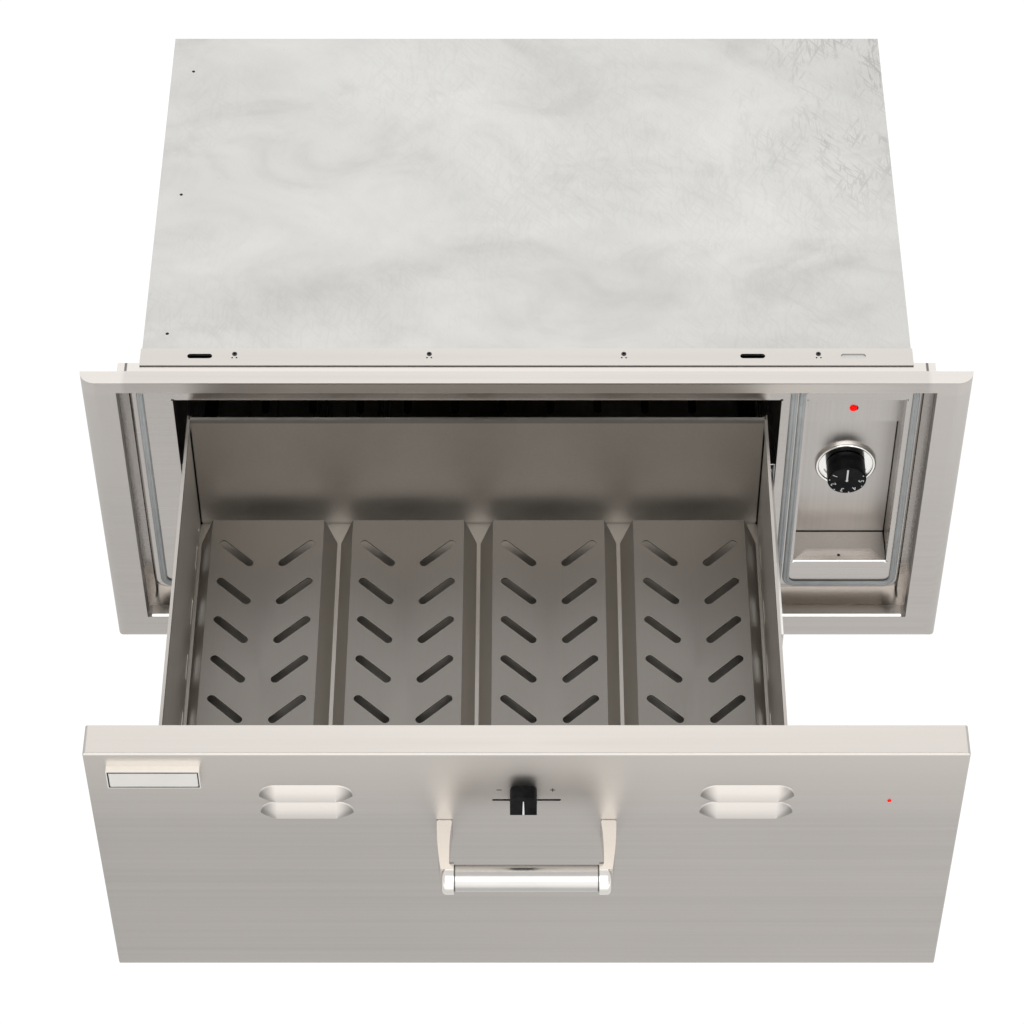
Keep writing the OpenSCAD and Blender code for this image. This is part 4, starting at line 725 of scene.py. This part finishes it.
gasket("drawer_gasket_bead", "drawer_gasket")
gasket("control_gasket_bead", "control_gasket")


# ---------- blankets ----------

BLANKET_EDGE = 0.003    # radius of the soft edges
BLANKET_DENT = 0.0012   # deepest dent in the surface
BLANKET_LUMPS = 38      # dents to the metre, roughly
BLANKET_CUTS = 13


def without_opening(low, high, gap):
    """The four slabs round an opening, which is given as its range along X and along Z."""
    (x0, x1), (z0, z1) = gap
    return [(low, Vector((high.x, high.y, z0))),
            (Vector((low.x, low.y, z1)), high),
            (Vector((low.x, low.y, z0)), Vector((x0, high.y, z1))),
            (Vector((x1, low.y, z0)), Vector((high.x, high.y, z1)))]


def felted(co, a, b):
    """Where a point on a slab from a to b ends up, with the edges rounded and a dent in it."""
    core = Vector([min(max(co[i], a[i] + BLANKET_EDGE), b[i] - BLANKET_EDGE) for i in range(3)])
    out = co - core
    if out.length <= 1e-9:
        return co
    dent = BLANKET_DENT * (0.5 + 0.5 * noise.noise(co * BLANKET_LUMPS))
    return core + out.normalized() * (BLANKET_EDGE - dent)


def blanket(name, node, body, gap=None):
    """A felted slab with soft edges and an uneven surface, round an opening where one is given."""
    low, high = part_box(node)
    slabs = without_opening(low, high, gap) if gap else [(low, high)]
    mesh = bmesh.new()
    for a, b in slabs:
        shape = Matrix.LocRotScale((a + b) / 2, None, b - a)
        made = bmesh.ops.create_cube(mesh, size=1, matrix=shape)
        edges = list({e for v in made["verts"] for e in v.link_edges})
        bmesh.ops.subdivide_edges(mesh, edges=edges, cuts=BLANKET_CUTS, use_grid_fill=True)
    slack = 1e-6
    for v in mesh.verts:
        for a, b in slabs:
            if all(a[i] - slack <= v.co[i] <= b[i] + slack for i in range(3)):
                v.co = felted(v.co, a, b)
                break
    bmesh.ops.recalc_face_normals(mesh, faces=mesh.faces)
    obj = piece(name, mesh, body, "fibre")
    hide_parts(node)


for node_name in ("insulation_top", "insulation_left", "insulation_right", "insulation_bottom",
                  "insulation_rear"):
    blanket(node_name + "_felt", node_name, "root")

# the front's blanket leaves room for the moisture shutter's whole travel
SHUTTER_REACH = 0.0625
SHUTTER_ROOM = 0.002
guide_low, guide_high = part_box("shutter_guides")
blanket("front_insulation_felt", "front_insulation", "drawer",
        ((guide_low.x - SHUTTER_REACH, guide_high.x + SHUTTER_REACH),
         (guide_low.z - SHUTTER_ROOM, guide_high.z + SHUTTER_ROOM)))


# ---------- printed marks ----------

MARK_THICK = 0.00012
DIGIT_PROUD = 0.0001


def glyph(text, size):
    """The flat outline of some text in Blender's own font, as triangles round its middle."""
    curve = bpy.data.curves.new("glyph", "FONT")
    curve.body = text
    curve.size = size
    curve.align_x = "CENTER"
    curve.align_y = "CENTER"
    holder = bpy.data.objects.new("glyph", curve)
    scene.collection.objects.link(holder)
    bpy.context.view_layer.update()
    graph = bpy.context.evaluated_depsgraph_get()
    flat = bpy.data.meshes.new_from_object(holder.evaluated_get(graph))
    bpy.data.objects.remove(holder)
    bpy.data.curves.remove(curve)
    return flat


def mark(mesh, points, y, place=(0, 0)):
    """A thin raised outline that faces the front, with its back at y and its middle at a place."""
    front, back = [[mesh.verts.new((place[0] + px, depth, place[1] + pz)) for px, pz in points]
                   for depth in (y - MARK_THICK, y)]
    mesh.faces.new(front)
    for i in range(len(points)):
        j = (i + 1) % len(points)
        mesh.faces.new((front[i], front[j], back[j], back[i]))


def bar(mesh, x0, x1, z0, z1, y, place=(0, 0)):
    """A raised rectangle that faces the front."""
    mark(mesh, [(x0, z0), (x1, z0), (x1, z1), (x0, z1)], y, place)


def digits(mesh, text, size, place, turn, y):
    """A number printed on a face that looks to the front."""
    flat = glyph(text, size)
    cos, sin = math.cos(turn), math.sin(turn)
    verts = [mesh.verts.new((place[0] + v.co.x * cos - v.co.y * sin, y - DIGIT_PROUD,
                             place[1] + v.co.x * sin + v.co.y * cos)) for v in flat.vertices]
    for polygon in flat.polygons:
        mesh.faces.new([verts[i] for i in polygon.vertices])
    bpy.data.meshes.remove(flat)


def on_circle(centre, radius, angle):
    return (centre[0] + radius * math.cos(angle), centre[1] + radius * math.sin(angle))


def knob_dial():
    """The dial on the thermostat knob: a pointer at the top, five numbers, dots between them."""
    low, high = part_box("thermostat_knob")
    centre = ((low.x + high.x) / 2, (low.z + high.z) / 2)
    radius = (high.x - low.x) / 2
    first, step = math.radians(60), math.radians(52)  # from the top, anticlockwise
    mesh = bmesh.new()
    bar(mesh, -0.0008, 0.0008, 0.0, radius * 0.82, low.y, centre)
    mark(mesh, [(-0.0018, 0.0), (0.0, -0.0016), (0.0018, 0.0)], low.y, centre)
    disc = [on_circle((0, 0), 0.0006, 2 * math.pi * i / 14) for i in range(14)]
    for i in range(5):
        angle = math.pi / 2 + first + i * step
        digits(mesh, str(i + 1), 0.0070, on_circle(centre, 0.72 * radius, angle),
               angle - math.pi / 2, low.y)
        mark(mesh, disc, low.y, on_circle(centre, 0.90 * radius, angle + step / 2))
    piece("thermostat_dial", mesh, "temperature_control", "ink", smooth=False)


def knob_line():
    """The tapered pointer line in the moisture knob's groove."""
    low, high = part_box("moisture_knob")
    foot, tip, tall = 0.00085, 0.0004, 0.0178
    mesh = bmesh.new()
    mark(mesh, [(-foot, 0.0), (foot, 0.0), (tip, tall), (-tip, tall)], low.y + 0.0004,
         ((low.x + high.x) / 2, low.z + 0.0002))
    piece("moisture_pointer", mesh, "moisture_control", "ink", smooth=False)


def less_and_more():
    """A minus and a plus printed on the front, over the ends of the moisture slot."""
    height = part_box("moisture_knob")[1].z - 0.0057
    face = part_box("badge_plate")[1].y
    less, more = (-0.022, height), (0.021, height)
    arm, half = 0.0021, 0.0004
    mesh = bmesh.new()
    bar(mesh, -arm, arm, -half, half, face, less)
    bar(mesh, -arm, arm, -half, half, face, more)
    bar(mesh, -half, half, half, arm, face, more)
    bar(mesh, -half, half, -arm, -half, face, more)
    piece("vent_marks", mesh, "drawer", "dark_ink", smooth=False)


def badge_border():
    """A thin dark line round the blank plate's face."""
    low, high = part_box("badge_plate")
    inset, width = 0.0009, 0.0010
    x0, x1, z0, z1 = low.x + inset, high.x - inset, low.z + inset, high.z - inset
    mesh = bmesh.new()
    for sides in ((x0, x1, z0, z0 + width), (x0, x1, z1 - width, z1),
                  (x0, x0 + width, z0 + width, z1 - width),
                  (x1 - width, x1, z0 + width, z1 - width)):
        bar(mesh, *sides, low.y + 0.0001)
    piece("badge_border", mesh, "drawer", "dark_ink", smooth=False)


knob_dial()
knob_line()
less_and_more()
badge_border()


# ---------- floor and light ----------

# how bright the floor looks in reflections: a place along Y and the brightness there
FLOOR_NEAR = (-0.68, 0.93)
FLOOR_FAR = (-1.25, 1.60)
# and a factor on it: a place along X and the factor there
FLOOR_LEFT = (-0.5, 0.97)
FLOOR_RIGHT = (0.5, 1.09)
FLOOR_HALF = 8
FLOOR_GAP = 0.0006      # between the floor and the lowest piece
SEEN_WHITE = 1.04
AIM = (0, 0, 0.2)


def join(g, output, lit, seen):
    """Shows one shader to camera, glossy and transmission rays, and lights by another."""
    rays = g.add("ShaderNodeLightPath").outputs
    shown = g.largest(rays["Is Camera Ray"], rays["Is Glossy Ray"], rays["Is Transmission Ray"])
    mix = g.add("ShaderNodeMixShader")
    for value, socket in zip((shown, lit, seen), mix.inputs):
        g.link(value, socket)
    g.link(mix.outputs[0], g.add(output).inputs["Surface"])


def make_floor():
    """A pale floor: white where the camera sees it, greyer in reflections close to the object."""
    mesh = bmesh.new()
    bmesh.ops.create_grid(mesh, x_segments=1, y_segments=1, size=FLOOR_HALF)
    data = bpy.data.meshes.new("floor")
    mesh.to_mesh(data)
    mesh.free()
    obj = bpy.data.objects.new("floor", data)
    obj.location = (0, 0, cad_low.z - FLOOR_GAP)
    scene.collection.objects.link(obj)

    material = bpy.data.materials.new("floor")
    material.use_nodes = True
    g = Graph(material.node_tree)
    g.tree.nodes.clear()
    matt = g.add("ShaderNodeBsdfDiffuse")
    matt.inputs["Color"].default_value = (0.8, 0.8, 0.8, 1)
    glow = g.add("ShaderNodeEmission")
    glow.inputs["Color"].default_value = (1, 1, 1, 1)
    x, y, _ = g.split(g.add("ShaderNodeTexCoord").outputs["Object"])
    ahead = g.fit(y, FLOOR_NEAR[0], FLOOR_FAR[0], FLOOR_NEAR[1], FLOOR_FAR[1], smooth=True)
    sideways = g.fit(x, FLOOR_LEFT[0], FLOOR_RIGHT[0], FLOOR_LEFT[1], FLOOR_RIGHT[1])
    camera_rays = g.add("ShaderNodeLightPath").outputs["Is Camera Ray"]
    g.link(g.largest(g.times(ahead, sideways), g.times(camera_rays, SEEN_WHITE)),
           glow.inputs["Strength"])
    join(g, "ShaderNodeOutputMaterial", matt.outputs[0], glow.outputs[0])
    data.materials.append(material)


def make_world():
    """A world that is white where it is seen and dimmer as a light."""
    world = bpy.data.worlds.new("studio")
    world.use_nodes = True
    scene.world = world
    g = Graph(world.node_tree)
    g.tree.nodes.clear()
    shaders = []
    for colour, strength in (((0.97, 0.98, 1, 1), 0.6), ((1, 1, 1, 1), 1.0)):
        background = g.add("ShaderNodeBackground")
        background.inputs["Color"].default_value = colour
        background.inputs["Strength"].default_value = strength
        shaders.append(background.outputs[0])
    join(g, "ShaderNodeOutputWorld", *shaders)


def area_lamp(name, place, size, power):
    """A soft rectangular lamp that points at the object's middle."""
    data = bpy.data.lights.new(name, "AREA")
    data.shape = "RECTANGLE"
    data.size, data.size_y = size
    data.energy = power
    obj = bpy.data.objects.new(name, data)
    obj.location = place
    obj.rotation_euler = (Vector(AIM) - Vector(place)).to_track_quat("-Z", "Y").to_euler()
    scene.collection.objects.link(obj)


make_floor()
make_world()
area_lamp("softbox_back", (0, 1.9, 2.5), (3.2, 2.4), 20)
area_lamp("softbox_front", (0, -2.6, 3.0), (3.2, 2.6), 42)
area_lamp("softbox_low", (0, -3.4, 1.0), (4.0, 1.9), 22)
